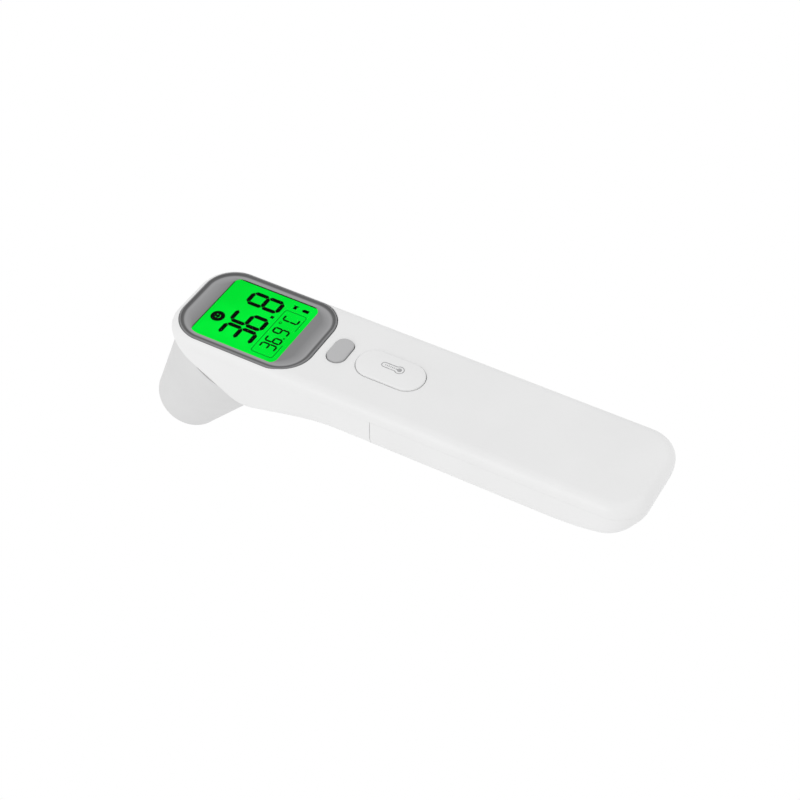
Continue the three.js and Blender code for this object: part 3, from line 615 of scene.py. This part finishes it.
def front_shell():
    shell = inside(walls(), beside_seam(1, FINE_GAP))
    shell = cut(
        shell,
        opening(0, BEZEL_X, BEZEL_Y, BEZEL_R, BEZEL_CLEAR, BEZEL_EDGE),
        opening(MODE["x"], MODE["length"] / 2, MODE["width"] / 2, MODE["r"], MODE_CLEAR),
        opening(SCAN["x"], SCAN["length"] / 2, SCAN["width"] / 2, SCAN["r"], SCAN_CLEAR),
    )
    for pair in (LONG_SCREWS, SHORT_SCREWS):
        shell = join(shell, *[screw_boss(x, y, BOSS_R, pair["boss"]) for x, y in both(pair)])
    finished(shell, "front_shell_skin", "front_shell", "casing", "white_casing")


def battery_tray():
    blank = inside(casing(TRAY_INSET, 10), box(TRAY_X0, TRAY_X1, -FAR, FAR, -FAR, TRAY_TOP))
    bay_inset = TRAY_INSET + TRAY_WALL
    bay_y = BODY_W / 2 - bay_inset
    blank = cut(
        blank,
        inside(casing(bay_inset, 10), box(TRAY_X0 - 1, BAY_X0 - 2, -FAR, FAR, -FAR, FAR)),
        box(TRAY_X0 - 1, BAY_X0 - 2, -bay_y, bay_y, -8, FAR),
        box(BAY_X0, BAY_X1, -BAY_Y, BAY_Y, -FAR, BAY_TOP),
    )
    for side in (1, -1):
        near, far = sorted((side * (BAY_Y + 1.4), side * (BAY_Y + 3.6)))
        groove, out = sorted((side * (BODY_W / 2 - RAIL_INSET - GAP), side * FAR))
        blank = cut(
            blank,
            box(BAY_X0 + 1, BAY_X1 - 1, near, far, -8.6, FAR),
            box(RAIL_X0 - 1, TRAY_X1 + 1, groove, out, RAIL_Z0 - RAIL_ROOM, RAIL_Z1 + RAIL_ROOM),
            box(BAY_X0 - 3, BAY_X0 + 1, side * CELL_Y - 1.5, side * CELL_Y + 1.5, -7.3, -6.3),
        )
    pad_top = LONG_SCREWS["boss"] - GAP
    for x, y in both(LONG_SCREWS):
        pad = inside(cylinder(x, y, 3.3, pad_top - 1.9, pad_top), casing(TRAY_INSET, 10))
        blank = join(blank, pad)
        blank = cut(
            blank,
            cylinder(x, y, SCREW_R + SCREW_CLEAR, -HANDLE_H, pad_top + 1, 24),
            cylinder(x, y, 2.3, -HANDLE_H, LONG_SCREWS["seat"] + 0.1, 32),
        )
    return blank


def screw_lug():
    top, half = SHORT_SCREWS["boss"] - GAP, SHORT_SCREWS["y"] + 3
    lug = box(TRAY_X1 - 1, SHORT_SCREWS["x"] + 3.5, -half, half, top - 1.4, top)
    return cut(lug, *[cylinder(x, y, SCREW_R + SCREW_CLEAR, -FAR, FAR, 24) for x, y in both(SHORT_SCREWS)])


def rear_shell():
    head = box(-FAR, DOOR_X - DOOR_GAP / 2, -FAR, FAR, -FAR, FAR)
    shell = inside(walls(), head, beside_seam(-1, 0))
    lip = box(TRAY_X0 - 0.5, DOOR_X - DOOR_GAP / 2, -FAR, FAR, -FAR, SEAM_Z - 0.2)
    rim = inside(casing(WALL / 2, 12), lip)
    rim = cut(rim, casing(TRAY_INSET + TRAY_WALL, 12))
    neck = turned("neck", [(0, NECK_START - 3), (NECK_R + 0.2, NECK_START - 3), (NECK_R + 0.2, 20), (0, 20)])
    shell = cut(join(shell, rim, battery_tray(), screw_lug()), probe_placed(neck))
    finished(shell, "rear_shell_skin", "rear_shell", "casing", "white_casing")


def battery_door():
    handle = box(DOOR_X + DOOR_GAP / 2, FAR, -FAR, FAR, -FAR, FAR)
    door = inside(walls(), handle, beside_seam(-1, FINE_GAP))
    rails = []
    for side in (1, -1):
        near, far = sorted((side * (BODY_W / 2 - RAIL_INSET), side * (BODY_W / 2 - WALL / 2)))
        rails.append(box(RAIL_X0, RAIL_X1, near, far, RAIL_Z0, RAIL_Z1))
    door = cut(join(door, *rails), *thumb_grip())
    finished(door, "battery_door_skin", "battery_door", "battery_door", "white_casing")


def thumb_grip():
    """Shallow curved grooves across the door's back, where a thumb pushes it off."""
    grooves = []
    for row in range(5):
        bar = turned("groove", [(0, -6.5), (0.75, -5.4), (0.75, 5.4), (0, 6.5)], 32)
        turn = Matrix.Rotation(math.pi / 2, 4, "X")
        grooves.append(placed(bar, Matrix.Translation((58 + 2.4 * row, 0, -HANDLE_H - 0.45)) @ turn))
    return grooves


# ---------------------------------------------------------------- probe

def rounded_corner(r_end, z_end, edge, steps):
    """Points of a quarter turn from the side of a round piece to its end."""
    points = []
    for i in range(steps + 1):
        turn = math.pi / 2 * i / steps
        points.append((r_end - edge * (1 - math.cos(turn)), z_end - edge * (1 - math.sin(turn))))
    return points


def probe_cap():
    rim = [(CAP_R - 0.1, SEAT + 0.08), (CAP_R, SEAT + 0.18)]
    side = (CAP_SHOULDER_R - 0.1, CAP_SHOULDER + 0.9)
    shoulder = bezier([(CAP_R, SEAT + 2.5), (CAP_R, SEAT + 5.5), side], 12)
    tip = rounded_corner(CAP_TIP_R, CAP_TIP, 2.4, 16)
    mouth = [
        (CAP_HOLE_R + 0.35, CAP_TIP),
        (CAP_HOLE_R + 0.1, CAP_TIP - 0.1),
        (CAP_HOLE_R, CAP_TIP - 0.35),
        (CAP_HOLE_R, CAP_TIP - CAP_WALL),
    ]
    lining = [
        (CAP_TIP_R - CAP_WALL - 1, CAP_TIP - CAP_WALL),
        (CAP_TIP_R - CAP_WALL - 0.3, CAP_TIP - CAP_WALL - 0.4),
        (CAP_TIP_R - CAP_WALL, CAP_TIP - CAP_WALL - 1.6),
        (CAP_SHOULDER_R - CAP_WALL, CAP_SHOULDER),
        (CAP_R - CAP_WALL, SEAT + 3.5),
        (CAP_R - CAP_WALL, SEAT + 0.08),
    ]
    profile = rim + [(CAP_R, SEAT + 2.5)] + [tuple(point) for point in shoulder] + tip + mouth + lining
    cap = probe_placed(closed_profile("probe_cap", profile, 160))
    finished(cap, "probe_cap_skin", "probe_cap", "probe_cap", "cap_grey")


def probe_housing():
    start = SEAT + GAP
    flange = CAP_R - CAP_WALL - 0.8
    flare = bezier([(12.4, start + 3.4), (9.6, start + 5.6), (8.9, start + 9)], 8)
    flare += bezier([(8.9, start + 9), (8.1, start + 13.6), (6.9, start + 18)], 8)
    tip = bezier([(5.8, PROBE_TIP - 4), (5.5, PROBE_TIP - 0.9), (4.4, PROBE_TIP)], 10)
    profile = [
        (NECK_R - 1.4, NECK_START),
        (NECK_R, NECK_START),
        (NECK_R, start),
        (flange - 0.2, start),
        (flange, start + 0.2),
        (flange, start + 1.2),
        (flange - 0.4, start + 2),
        (12.4, start + 3.4),
    ]
    profile += [tuple(point) for point in flare] + [(5.8, PROBE_TIP - 4)] + [tuple(point) for point in tip]
    profile += [
        (3.3, PROBE_TIP),
        (3.1, PROBE_TIP - 0.2),
        (3.1, PROBE_TIP - 1.3),
        (4.2, PROBE_TIP - 1.3),
        (4.2, start + 22),
        (NECK_R - 1.4, start + 6),
    ]
    made = probe_placed(closed_profile("probe_housing", profile, 96))
    finished(made, "probe_housing_skin", "probe_housing", "casing", "probe_white")


# ---------------------------------------------------------------- display

def in_from_rim(x, y):
    """Distance in from the bezel's outline."""
    along, across = abs(x) - BEZEL_X + BEZEL_R, abs(y) - BEZEL_Y + BEZEL_R
    return BEZEL_R - math.hypot(max(along, 0), max(across, 0)) - min(max(along, across), 0)


def bezel():
    """A grey surround with a rounded rim, a step inside the rim and a face that dips to the screen; the step
    gets painted shade and the band beside it a painted highlight.
    """
    def ring(inset, z):
        flat = level_ring(0, BEZEL_X - inset, BEZEL_Y - inset, BEZEL_R - inset, z)
        return [(px, py, pz - BEZEL_SAG * (py / BEZEL_Y) ** 2) for px, py, pz in flat]

    rings = [level_ring(0, BEZEL_X, BEZEL_Y, BEZEL_R, BEZEL_LOW)]
    for i in range(9):
        turn = math.pi / 2 * i / 8
        rings.append(ring(0.35 * (1 - math.cos(turn)), BEZEL_TOP - 0.35 + 0.35 * math.sin(turn)))
    outer = loft("display_bezel", rings)
    dish = loft("dish", [
        level_ring(SCREEN_X, SCREEN_HALF_X, SCREEN_HALF_Y, SCREEN_R, BEZEL_LOW - 1),
        level_ring(SCREEN_X, SCREEN_HALF_X, SCREEN_HALF_Y, SCREEN_R, -1.02),
        level_ring(SCREEN_X, SCREEN_HALF_X + 0.12, SCREEN_HALF_Y + 0.12, SCREEN_R + 0.1, -0.9),
        ring(2.6, -0.3),
        ring(1.9, -0.16),
        ring(1.45, -0.02),
        ring(0.8, 0.06),
        ring(0.6, BEZEL_TOP - 0.03),
        ring(0.5, BEZEL_TOP + 0.03),
        ring(0.5, BEZEL_TOP + 1),
    ])
    half_x, half_y = SCREEN_HALF_X + 1.2, SCREEN_HALF_Y + 1
    pocket = loft("pocket", [
        level_ring(SCREEN_X, half_x, half_y, WINDOW_R, BEZEL_LOW - 1),
        level_ring(SCREEN_X, half_x, half_y, WINDOW_R, WINDOW_TOP + 0.1),
    ])
    made = cut(outer, dish, pocket)
    made = finished(made, "display_bezel_skin", "display_bezel", "casing", "bezel_grey")
    # distance in from the rim, by which the bezel's material places its painted shade and painted highlight
    inset = made.data.attributes.new("inset", "FLOAT", "POINT")
    for vertex, entry in zip(made.data.vertices, inset.data):
        entry.value = in_from_rim(vertex.co.x * 1000 + DATUM_X, vertex.co.y * 1000)


def window():
    half_x, half_y = SCREEN_HALF_X + 1.1, SCREEN_HALF_Y + 0.9
    low = WINDOW_TOP - WINDOW_T
    rings = [(0.06, low), (0, low + 0.06), (0, WINDOW_TOP - 0.06), (0.06, WINDOW_TOP)]
    made = loft("window", [level_ring(SCREEN_X, half_x - b, half_y - b, WINDOW_R - b, z) for b, z in rings])
    finished(made, "display_window_pane", "display_window", "casing", "window_clear")


def sheet(name, outline, low, high):
    """A thin plate from an outline of [x, y] points."""
    count = len(outline)
    points = [(x, y, z) for z in (low, high) for x, y in outline]
    faces = [tuple(reversed(range(count))), tuple(range(count, 2 * count))]
    faces += [(i, (i + 1) % count, count + (i + 1) % count, count + i) for i in range(count)]
    return mesh_object(name, points, faces)


def merged(name, pieces):
    """Several thin plates as one object."""
    points, faces = [], []
    for piece in pieces:
        first = len(points)
        points.extend(tuple(v.co) for v in piece.data.vertices)
        faces.extend(tuple(first + i for i in face.vertices) for face in piece.data.polygons)
        bpy.data.objects.remove(piece)
    return mesh_object(name, points, faces)


INK_LOW, INK_HIGH = LCD_TOP + 0.005, LCD_TOP + 0.045
FACE_X, FACE_Y, FACE_R = -12.8, -3.3, 2.3
READING = {"top": -8.5, "bottom": 2.15, "half": 2.4, "thick": 1.45}
MEMORY = {"top": 5.6, "bottom": 10.6, "half": 1.05, "thick": 0.62}


def segment(cx, cy, length, thick, upright):
    """One bar of a digit, with pointed ends. Upright bars run along X, the others along Y."""
    half, point = length / 2, thick / 2
    outline = [(-half, 0), (-half + point, -point), (half - point, -point), (half, 0), (half - point, point),
               (-half + point, point)]
    if upright:
        outline = [(cx + a, cy + b) for a, b in outline]
    else:
        outline = [(cx - b, cy + a) for a, b in outline]
    return sheet("segment", outline, INK_LOW, INK_HIGH)


BARS = {
    "3": "top middle bottom upper_right lower_right",
    "6": "top middle bottom upper_left lower_left lower_right",
    "8": "top middle bottom upper_left upper_right lower_left lower_right",
    "9": "top middle bottom upper_left upper_right lower_right",
    "C": "top bottom upper_left lower_left",
}


def digit(character, y, size):
    """A seven-bar character. The text's right is +Y and its top is -X."""
    top, bottom, half, thick = size["top"], size["bottom"], size["half"], size["thick"]
    middle, tall = (top + bottom) / 2, (bottom - top) / 2
    places = {
        "top": (top, y, 2 * half, False),
        "middle": (middle, y, 2 * half, False),
        "bottom": (bottom, y, 2 * half, False),
        "upper_left": ((top + middle) / 2, y - half, tall, True),
        "upper_right": ((top + middle) / 2, y + half, tall, True),
        "lower_left": ((middle + bottom) / 2, y - half, tall, True),
        "lower_right": ((middle + bottom) / 2, y + half, tall, True),
    }
    made = []
    for bar in BARS[character].split():
        cx, cy, length, upright = places[bar]
        made.append(segment(cx, cy, length - thick * 0.12, thick, upright))
    return made


def disc(cx, cy, r, sides=40):
    turns = [2 * math.pi * i / sides for i in range(sides)]
    return sheet("disc", [(cx + r * math.cos(t), cy + r * math.sin(t)) for t in turns], INK_LOW, INK_HIGH)


def arc_band(cx, cy, r, thick, start, end, sides):
    """Part of a ring, as a row of small plates."""
    made = []
    for i in range(sides):
        a, b = [math.radians(start + (end - start) * k / sides) for k in (i, i + 1)]
        inner, outer = r - thick / 2, r + thick / 2
        made.append(sheet("arc", [
            (cx + inner * math.cos(a), cy + inner * math.sin(a)),
            (cx + outer * math.cos(a), cy + outer * math.sin(a)),
            (cx + outer * math.cos(b), cy + outer * math.sin(b)),
            (cx + inner * math.cos(b), cy + inner * math.sin(b)),
        ], INK_LOW, INK_HIGH))
    return made


def plate(x0, x1, y0, y1):
    return sheet("plate", [(x0, y0), (x1, y0), (x1, y1), (x0, y1)], INK_LOW, INK_HIGH)


def face():
    """Eyes and mouth of the round sign over the reading, drawn in light on dark."""
    made = [disc(FACE_X - 0.4, FACE_Y + side * 0.6, 0.2, 16) for side in (-1, 1)]
    made += arc_band(FACE_X, FACE_Y, 0.85, 0.2, -60, 60, 12)
    return placed(merged("face", made), Matrix.Translation((0, 0, 0.012)))


def reading():
    """The large reading, the round sign over it and the two small signs beside the memory line."""
    made = []
    for character, y in (("3", -6.85), ("6", -0.2), ("8", 9.0)):
        made += digit(character, y, READING)
    made.append(plate(1.65, 2.75, 3.85, 4.95))
    made.append(disc(FACE_X, FACE_Y, FACE_R))
    speaker = [(5.6, 10.9), (6.7, 10.9), (6.7, 12.1), (7.2, 12.5), (5.2, 12.5), (5.6, 12.1)]
    made.append(sheet("speaker", speaker, INK_LOW, INK_HIGH))
    made.append(plate(9.0, 11.0, 11.0, 12.3))
    made.append(plate(8.7, 9.0, 11.35, 11.95))
    return made


def memory_line():
    """The small reading with its unit."""
    made = []
    for character, y in (("3", -7.3), ("6", -4.1), ("9", 0.1), ("C", 6.2)):
        made += digit(character, y, MEMORY)
    made.append(plate(10.3, 10.8, -2.35, -1.85))
    made += arc_band(5.7, 3.5, 0.38, 0.2, 0, 360, 20)
    return made


def memory_frame():
    """The thin box round the small reading, open at its lower side."""
    thick, r = 0.2, 0.9
    x0, x1, y0, y1 = 4.2, 11.8, -11.2, 9.4
    made = [
        plate(x0 - thick / 2, x0 + thick / 2, y0 + r, y1 - r),
        plate(x0 + r, x1 - r, y0 - thick / 2, y0 + thick / 2),
        plate(x0 + r, x1 - r, y1 - thick / 2, y1 + thick / 2),
        plate(x1 - thick / 2, x1 + thick / 2, y0 + r, -4.9),
        plate(x1 - thick / 2, x1 + thick / 2, 2.3, y1 - r),
    ]
    left, right, near, far = x0 + r, x1 - r, y0 + r, y1 - r
    for cx, cy, start in ((left, near, 180), (right, near, 270), (right, far, 0), (left, far, 90)):
        made += arc_band(cx, cy, r, thick, start, start + 90, 8)
    return made


def lcd():
    rings = [(0.08, LCD_TOP - LCD_T), (0, LCD_TOP - LCD_T + 0.08), (0, LCD_TOP - 0.08), (0.08, LCD_TOP)]
    cx, half = (LCD_X0 + LCD_X1) / 2, (LCD_X1 - LCD_X0) / 2
    glass = loft("lcd", [level_ring(cx, half - b, LCD_Y - b, 0.3, z, 4) for b, z in rings])
    finished(glass, "lcd_glass_pane", "lcd_glass", "casing", "display_green")
    finished(face(), "lcd_face", None, "casing", "display_green")
    for name, pieces, ink in (
        ("lcd_reading", reading(), "display_black"),
        ("lcd_memory_line", memory_line(), "display_black"),
        ("lcd_memory_frame", memory_frame(), "display_faint"),
    ):
        finished(merged(name, pieces), name, None, "casing", "component_black", ink)


# ---------------------------------------------------------------- buttons

def crowned(name, shape):
    """A button: rounded edge, slightly crowned top, flange and stem."""
    cx, half_x, half_y = shape["x"], shape["length"] / 2, shape["width"] / 2
    r, top, crown = shape["r"], shape["top"], shape["crown"]
    flange_top, edge = -WALL - GAP, BUTTON_EDGE
    steps = [(0, flange_top - 0.2), (0, top - crown - edge)]
    for i in range(1, 9):
        turn = math.pi / 2 * i / 8
        steps.append((edge * (1 - math.cos(turn)), top - crown - edge + edge * math.sin(turn)))
    for share in (0.12, 0.25, 0.4, 0.6, 0.8, 0.97):
        rise = crown * (1 - (1 - share) ** 2)
        steps.append((edge + (r - edge - 0.05) * share, top - crown + rise))
    cap = loft(name, [level_ring(cx, half_x - b, half_y - b, max(r - b, 0.04), z) for b, z in steps])
    reach = FLANGE + GAP
    heights = (flange_top - 0.7, flange_top)
    rings = [level_ring(cx, half_x + reach, half_y + reach, r + reach, z) for z in heights]
    stem = cylinder(cx, 0, 1.4, PLUNGER_TOP + 0.1, flange_top - 0.5, 24)
    return join(cap, loft("flange", rings), stem)


def buttons():
    made = crowned("mode_button", MODE)
    finished(made, "mode_button_cap", "mode_button", "mode_button", "button_grey")
    made = crowned("scan_button", SCAN)
    finished(made, "scan_button_cap", "scan_button", "scan_button", "white_casing")
    lift = SCAN["top"] - LCD_TOP - 0.015
    mark = placed(merged("mark", thermometer_sign()), Matrix.Translation((0, 0, lift)))
    finished(mark, "scan_button_mark", None, "scan_button", "button_grey", "button_mark")


def thermometer_sign():
    """Outline of a thermometer with its bulb towards the handle, and the marks of its scale."""
    top_x, bulb_x, y, half, bulb_r = 44.45, 49.45, 0.65, 0.95, 1.45
    meet = math.degrees(math.asin(half / bulb_r))
    made = arc_band(bulb_x, y, bulb_r, 0.24, meet - 180, 180 - meet, 28)
    made += arc_band(top_x, y, half, 0.24, 90, 270, 14)
    for side in (-1, 1):
        near, far = sorted((y + side * (half - 0.12), y + side * (half + 0.12)))
        made.append(plate(top_x, bulb_x - bulb_r * math.cos(math.radians(meet)), near, far))
    made.append(disc(bulb_x, y, 0.75, 24))
    made.append(plate(bulb_x - 1.3, bulb_x - 0.7, y - 0.16, y + 0.16))
    for i in range(6):
        made.append(plate(44.6 + 0.6 * i, 44.85 + 0.6 * i, y - 0.25, y + 0.3))
    return made


# ---------------------------------------------------------------- batteries, contacts and screws

def cell(name, x0, y, facing):
    """A cell whose button end faces +X (facing 1) or -X (facing -1), with its film rolled over both ends."""
    body = CELL_L - 0.8
    jacket = [(CELL_R - 0.75, 0.12), (CELL_R - 0.45, 0.0), (CELL_R - 0.15, 0.12), (CELL_R, 0.45)]
    jacket += [(CELL_R, body - CELL_BAND), (CELL_R, body - 0.45), (CELL_R - 0.15, body - 0.12)]
    jacket += [(CELL_R - 0.45, body), (CELL_R - 0.75, body - 0.12), (CELL_R - 0.75, body - 0.4)]
    jacket += [(CELL_R - 0.75, 0.4)]
    film = closed_profile(name, jacket, 96)
    base = 0 if facing > 0 else CELL_L
    film = along_x(film, x0 + base, y, CELL_Z, facing)
    film = finished(film, name + "_jacket", name, "casing", "cell_jacket")
    film.data.materials.append(MATERIALS["cell_band"])
    positive = x0 + CELL_L - base - DATUM_X
    for face in film.data.polygons:
        if abs(face.center.x * 1000 - positive) < CELL_BAND:
            face.material_index = 1
    core = turned(name, [
        (0, 0.25), (3.4, 0.25), (3.6, 0.3), (CELL_R - 0.8, 0.3),
        (CELL_R - 0.8, body - 0.25), (3.0, body - 0.25), (2.6, body), (2.1, body + 0.02),
        (1.9, body + 0.15), (1.9, CELL_L - 0.2), (1.7, CELL_L), (0, CELL_L),
    ], 72)
    core = along_x(core, x0 + base, y, CELL_Z, facing)
    finished(core, name + "_can", None, "casing", "plated_steel")


def spring_points(x0, x1, y):
    """Points along a spring that narrows towards x1."""
    steps = 110
    points = []
    for i in range(steps + 1):
        t = i / steps
        r, angle = SPRING_R - 1.2 * t, t * SPRING_TURNS * 2 * math.pi
        points.append((x0 + (x1 - x0) * t, y + r * math.cos(angle), CELL_Z + r * math.sin(angle)))
    return points


def rounded_leaf(x0, x1, half_y, y, z0, z1):
    """A contact leaf across the bay, with rounded corners."""
    leaf = sheet("leaf", [(a, b) for a, b, _ in level_ring(0, (z1 - z0) / 2, half_y, 1.0, 0, 6)], 0, x1 - x0)
    stand = Matrix(((0, 0, 1, x0), (0, 1, 0, y), (-1, 0, 0, (z0 + z1) / 2), (0, 0, 0, 1)))
    return placed(leaf, stand)


def contacts():
    front = BAY_X0 + 0.1
    tabs = {1: ("plus_contact", []), -1: ("minus_contact", [("spring", front + 0.2, MINUS_SPRING_X)])}
    for side, (node, springs) in tabs.items():
        y = side * CELL_Y
        leaf = rounded_leaf(front, front + LEAF_T, 4.4, y, CELL_Z - LEAF_BELOW, CELL_Z + LEAF_ABOVE)
        tab = box(BAY_X0 - 4.5, front + 0.2, y - 1.2, y + 1.2, -7, -6.6)
        made = join(leaf, tab)
        if side > 0:
            dome = turned("dome", [(0, -0.2), (1.6, -0.2), (1.45, 0.25), (1.0, 0.55), (0, 0.66)], 40)
            made = join(made, along_x(dome, front + 0.45, y, CELL_Z))
        for name, start, end in springs:
            made = join(made, tube(name, spring_points(start, end, y), WIRE_R))
        finished(made, node + "_leaf", node, "casing", "plated_steel")
    back = BAY_X1 - 0.1
    leaf = rounded_leaf(back - LEAF_T, back, 10.4, 0, CELL_Z - LEAF_BELOW, CELL_Z + LEAF_ABOVE)
    made = join(leaf, tube("spring", spring_points(back - 0.2, BRIDGE_SPRING_X, CELL_Y), WIRE_R))
    finished(made, "bridge_contact_leaf", "bridge_contact", "casing", "plated_steel")


def screw(node, x, y, seat, end):
    """A pan-head screw with a cross in its head and a thread round its shank."""
    name, r, pitch = node + "_threaded", SCREW_R, SCREW_PITCH
    head = 2 * r
    profile = [(0, seat - 0.9), (head * 0.55, seat - 0.86), (head * 0.86, seat - 0.68), (head, seat - 0.35)]
    profile += [(head, seat - 0.05), (head - 0.05, seat), (r * 0.8, seat)]
    z = seat + 0.25
    while z < end - 0.9:
        profile += [(r * 0.78, z), (r, z + pitch * 0.4), (r, z + pitch * 0.5), (r * 0.78, z + pitch * 0.9)]
        z += pitch
    profile += [(r * 0.78, end - 0.5), (0.12, end), (0, end)]
    blank = placed(turned(name, profile, 40), Matrix.Translation((x, y, 0)))
    arm, half = head * 0.6, 0.2
    deep = seat - 0.4
    blank = cut(
        blank,
        box(x - arm, x + arm, y - half, y + half, seat - 5, deep),
        box(x - half, x + half, y - arm, y + arm, seat - 5, deep),
    )
    finished(blank, name, node, "casing", "plated_steel")


def screws():
    places = [(pair, x, y) for pair in (LONG_SCREWS, SHORT_SCREWS) for x, y in both(pair)]
    for i, (pair, x, y) in enumerate(places):
        screw(f"case_screw_{i + 1}", x, y, pair["seat"], pair["end"])


# ---------------------------------------------------------------- pieces that keep their CAD mesh

def finish_frame_nodes():
    """Gives every CAD piece its finish, softens its edges and smooths its round sides."""
    slots = {part["node"]: part["material_slot"] for part in frame["record"]["subparts"]}
    for name, node in frame["nodes"].items():
        node.data.materials.clear()
        node.data.materials.append(MATERIALS[slots[name]])
        if node.hide_render:
            continue
        node.data.shade_smooth()
        node.data.set_sharp_from_angle(angle=SHARP)
        edge = node.modifiers.new("edge", "BEVEL")
        edge.width = 0.00008
        edge.segments = 2
        edge.limit_method = "ANGLE"
        edge.angle_limit = math.radians(50)
        edge.use_clamp_overlap = True


# ---------------------------------------------------------------- floor, light and camera

FLOOR_Z, FLOOR_HALF = -0.16, 6  # metres
FLOOR_GIVES, SURROUND_GIVES = 0.92, 0.87  # light on the object, where the camera sees 1
AZIMUTH, ELEVATION, DISTANCE = math.radians(29.4), math.radians(45.2), 0.528
SENSOR, LENS = 36, 81
LOOK_AT = (55.25, -9.3)  # millimetres from the display's centre


def glowing(name, seen, given):
    """A surface that the camera sees at one brightness and that lights the object with another."""
    material = bpy.data.materials.new(name)
    material.use_nodes = True
    tree = material.node_tree
    tree.nodes.remove(tree.nodes["Principled BSDF"])
    glow = tree.nodes.new("ShaderNodeEmission")
    glow.inputs["Color"].default_value = (1, 1, 1, 1)
    rays = tree.nodes.new("ShaderNodeLightPath")
    level = tree.nodes.new("ShaderNodeMapRange")
    level.inputs["To Min"].default_value = given
    level.inputs["To Max"].default_value = seen
    tree.links.new(rays.outputs["Is Camera Ray"], level.inputs["Value"])
    tree.links.new(level.outputs["Result"], glow.inputs["Strength"])
    tree.links.new(glow.outputs["Emission"], tree.nodes["Material Output"].inputs["Surface"])
    return material


def studio():
    """A pale floor well below the object, an even pale surround and two soft lights."""
    scene = bpy.context.scene
    corners = [(x * FLOOR_HALF, y * FLOOR_HALF, 0) for x, y in ((-1, -1), (1, -1), (1, 1), (-1, 1))]
    floor = mesh_object("floor", corners, [(0, 1, 2, 3)])
    floor.location.z = FLOOR_Z
    floor.data.materials.append(glowing("pale_floor", 1.0, FLOOR_GIVES))

    world = bpy.data.worlds.new("studio")
    world.use_nodes = True
    tree = world.node_tree
    surround = tree.nodes["Background"]
    surround.inputs["Color"].default_value = (1, 1, 1, 1)
    rays = tree.nodes.new("ShaderNodeLightPath")
    level = tree.nodes.new("ShaderNodeMapRange")
    level.inputs["To Min"].default_value = SURROUND_GIVES
    level.inputs["To Max"].default_value = 1.0
    tree.links.new(rays.outputs["Is Camera Ray"], level.inputs["Value"])
    tree.links.new(level.outputs["Result"], surround.inputs["Strength"])
    scene.world = world

    for name, place, size, power in (
        ("key", (-0.25, -0.9, 0.45), 0.7, 1.6),
        ("fill", (0.5, 0.5, 1.0), 0.9, 0.8),
    ):
        light = bpy.data.lights.new(name, "AREA")
        light.size = size
        light.energy = power
        lamp = bpy.data.objects.new(name, light)
        scene.collection.objects.link(lamp)
        lamp.location = place
        aim = Vector((-0.03, 0, 0)) - Vector(place)
        lamp.rotation_mode = "QUATERNION"
        lamp.rotation_quaternion = aim.to_track_quat("-Z", "Y")

    scene.view_settings.view_transform = "Standard"
    scene.view_settings.look = "None"


def camera():
    """A long lens high over the handle's near side."""
    target = Vector((LOOK_AT[0] - DATUM_X, LOOK_AT[1], HANDLE_H)) * 0.001
    back = Vector((
        math.sin(AZIMUTH) * math.cos(ELEVATION),
        -math.cos(AZIMUTH) * math.cos(ELEVATION),
        math.sin(ELEVATION),
    ))
    data = bpy.data.cameras.new("camera")
    data.sensor_width = SENSOR
    data.lens = LENS
    data.clip_start = 0.01
    made = bpy.data.objects.new("camera", data)
    bpy.context.scene.collection.objects.link(made)
    made.location = target + back * DISTANCE
    made.rotation_mode = "QUATERNION"
    made.rotation_quaternion = (-back).to_track_quat("-Z", "Y")
    bpy.context.scene.camera = made


front_shell()
rear_shell()
battery_door()
probe_cap()
probe_housing()
bezel()
window()
lcd()
buttons()
cell("battery_1", CELL_1_X, CELL_Y, -1)
cell("battery_2", CELL_2_X, -CELL_Y, 1)
contacts()
screws()
finish_frame_nodes()
studio()
camera()
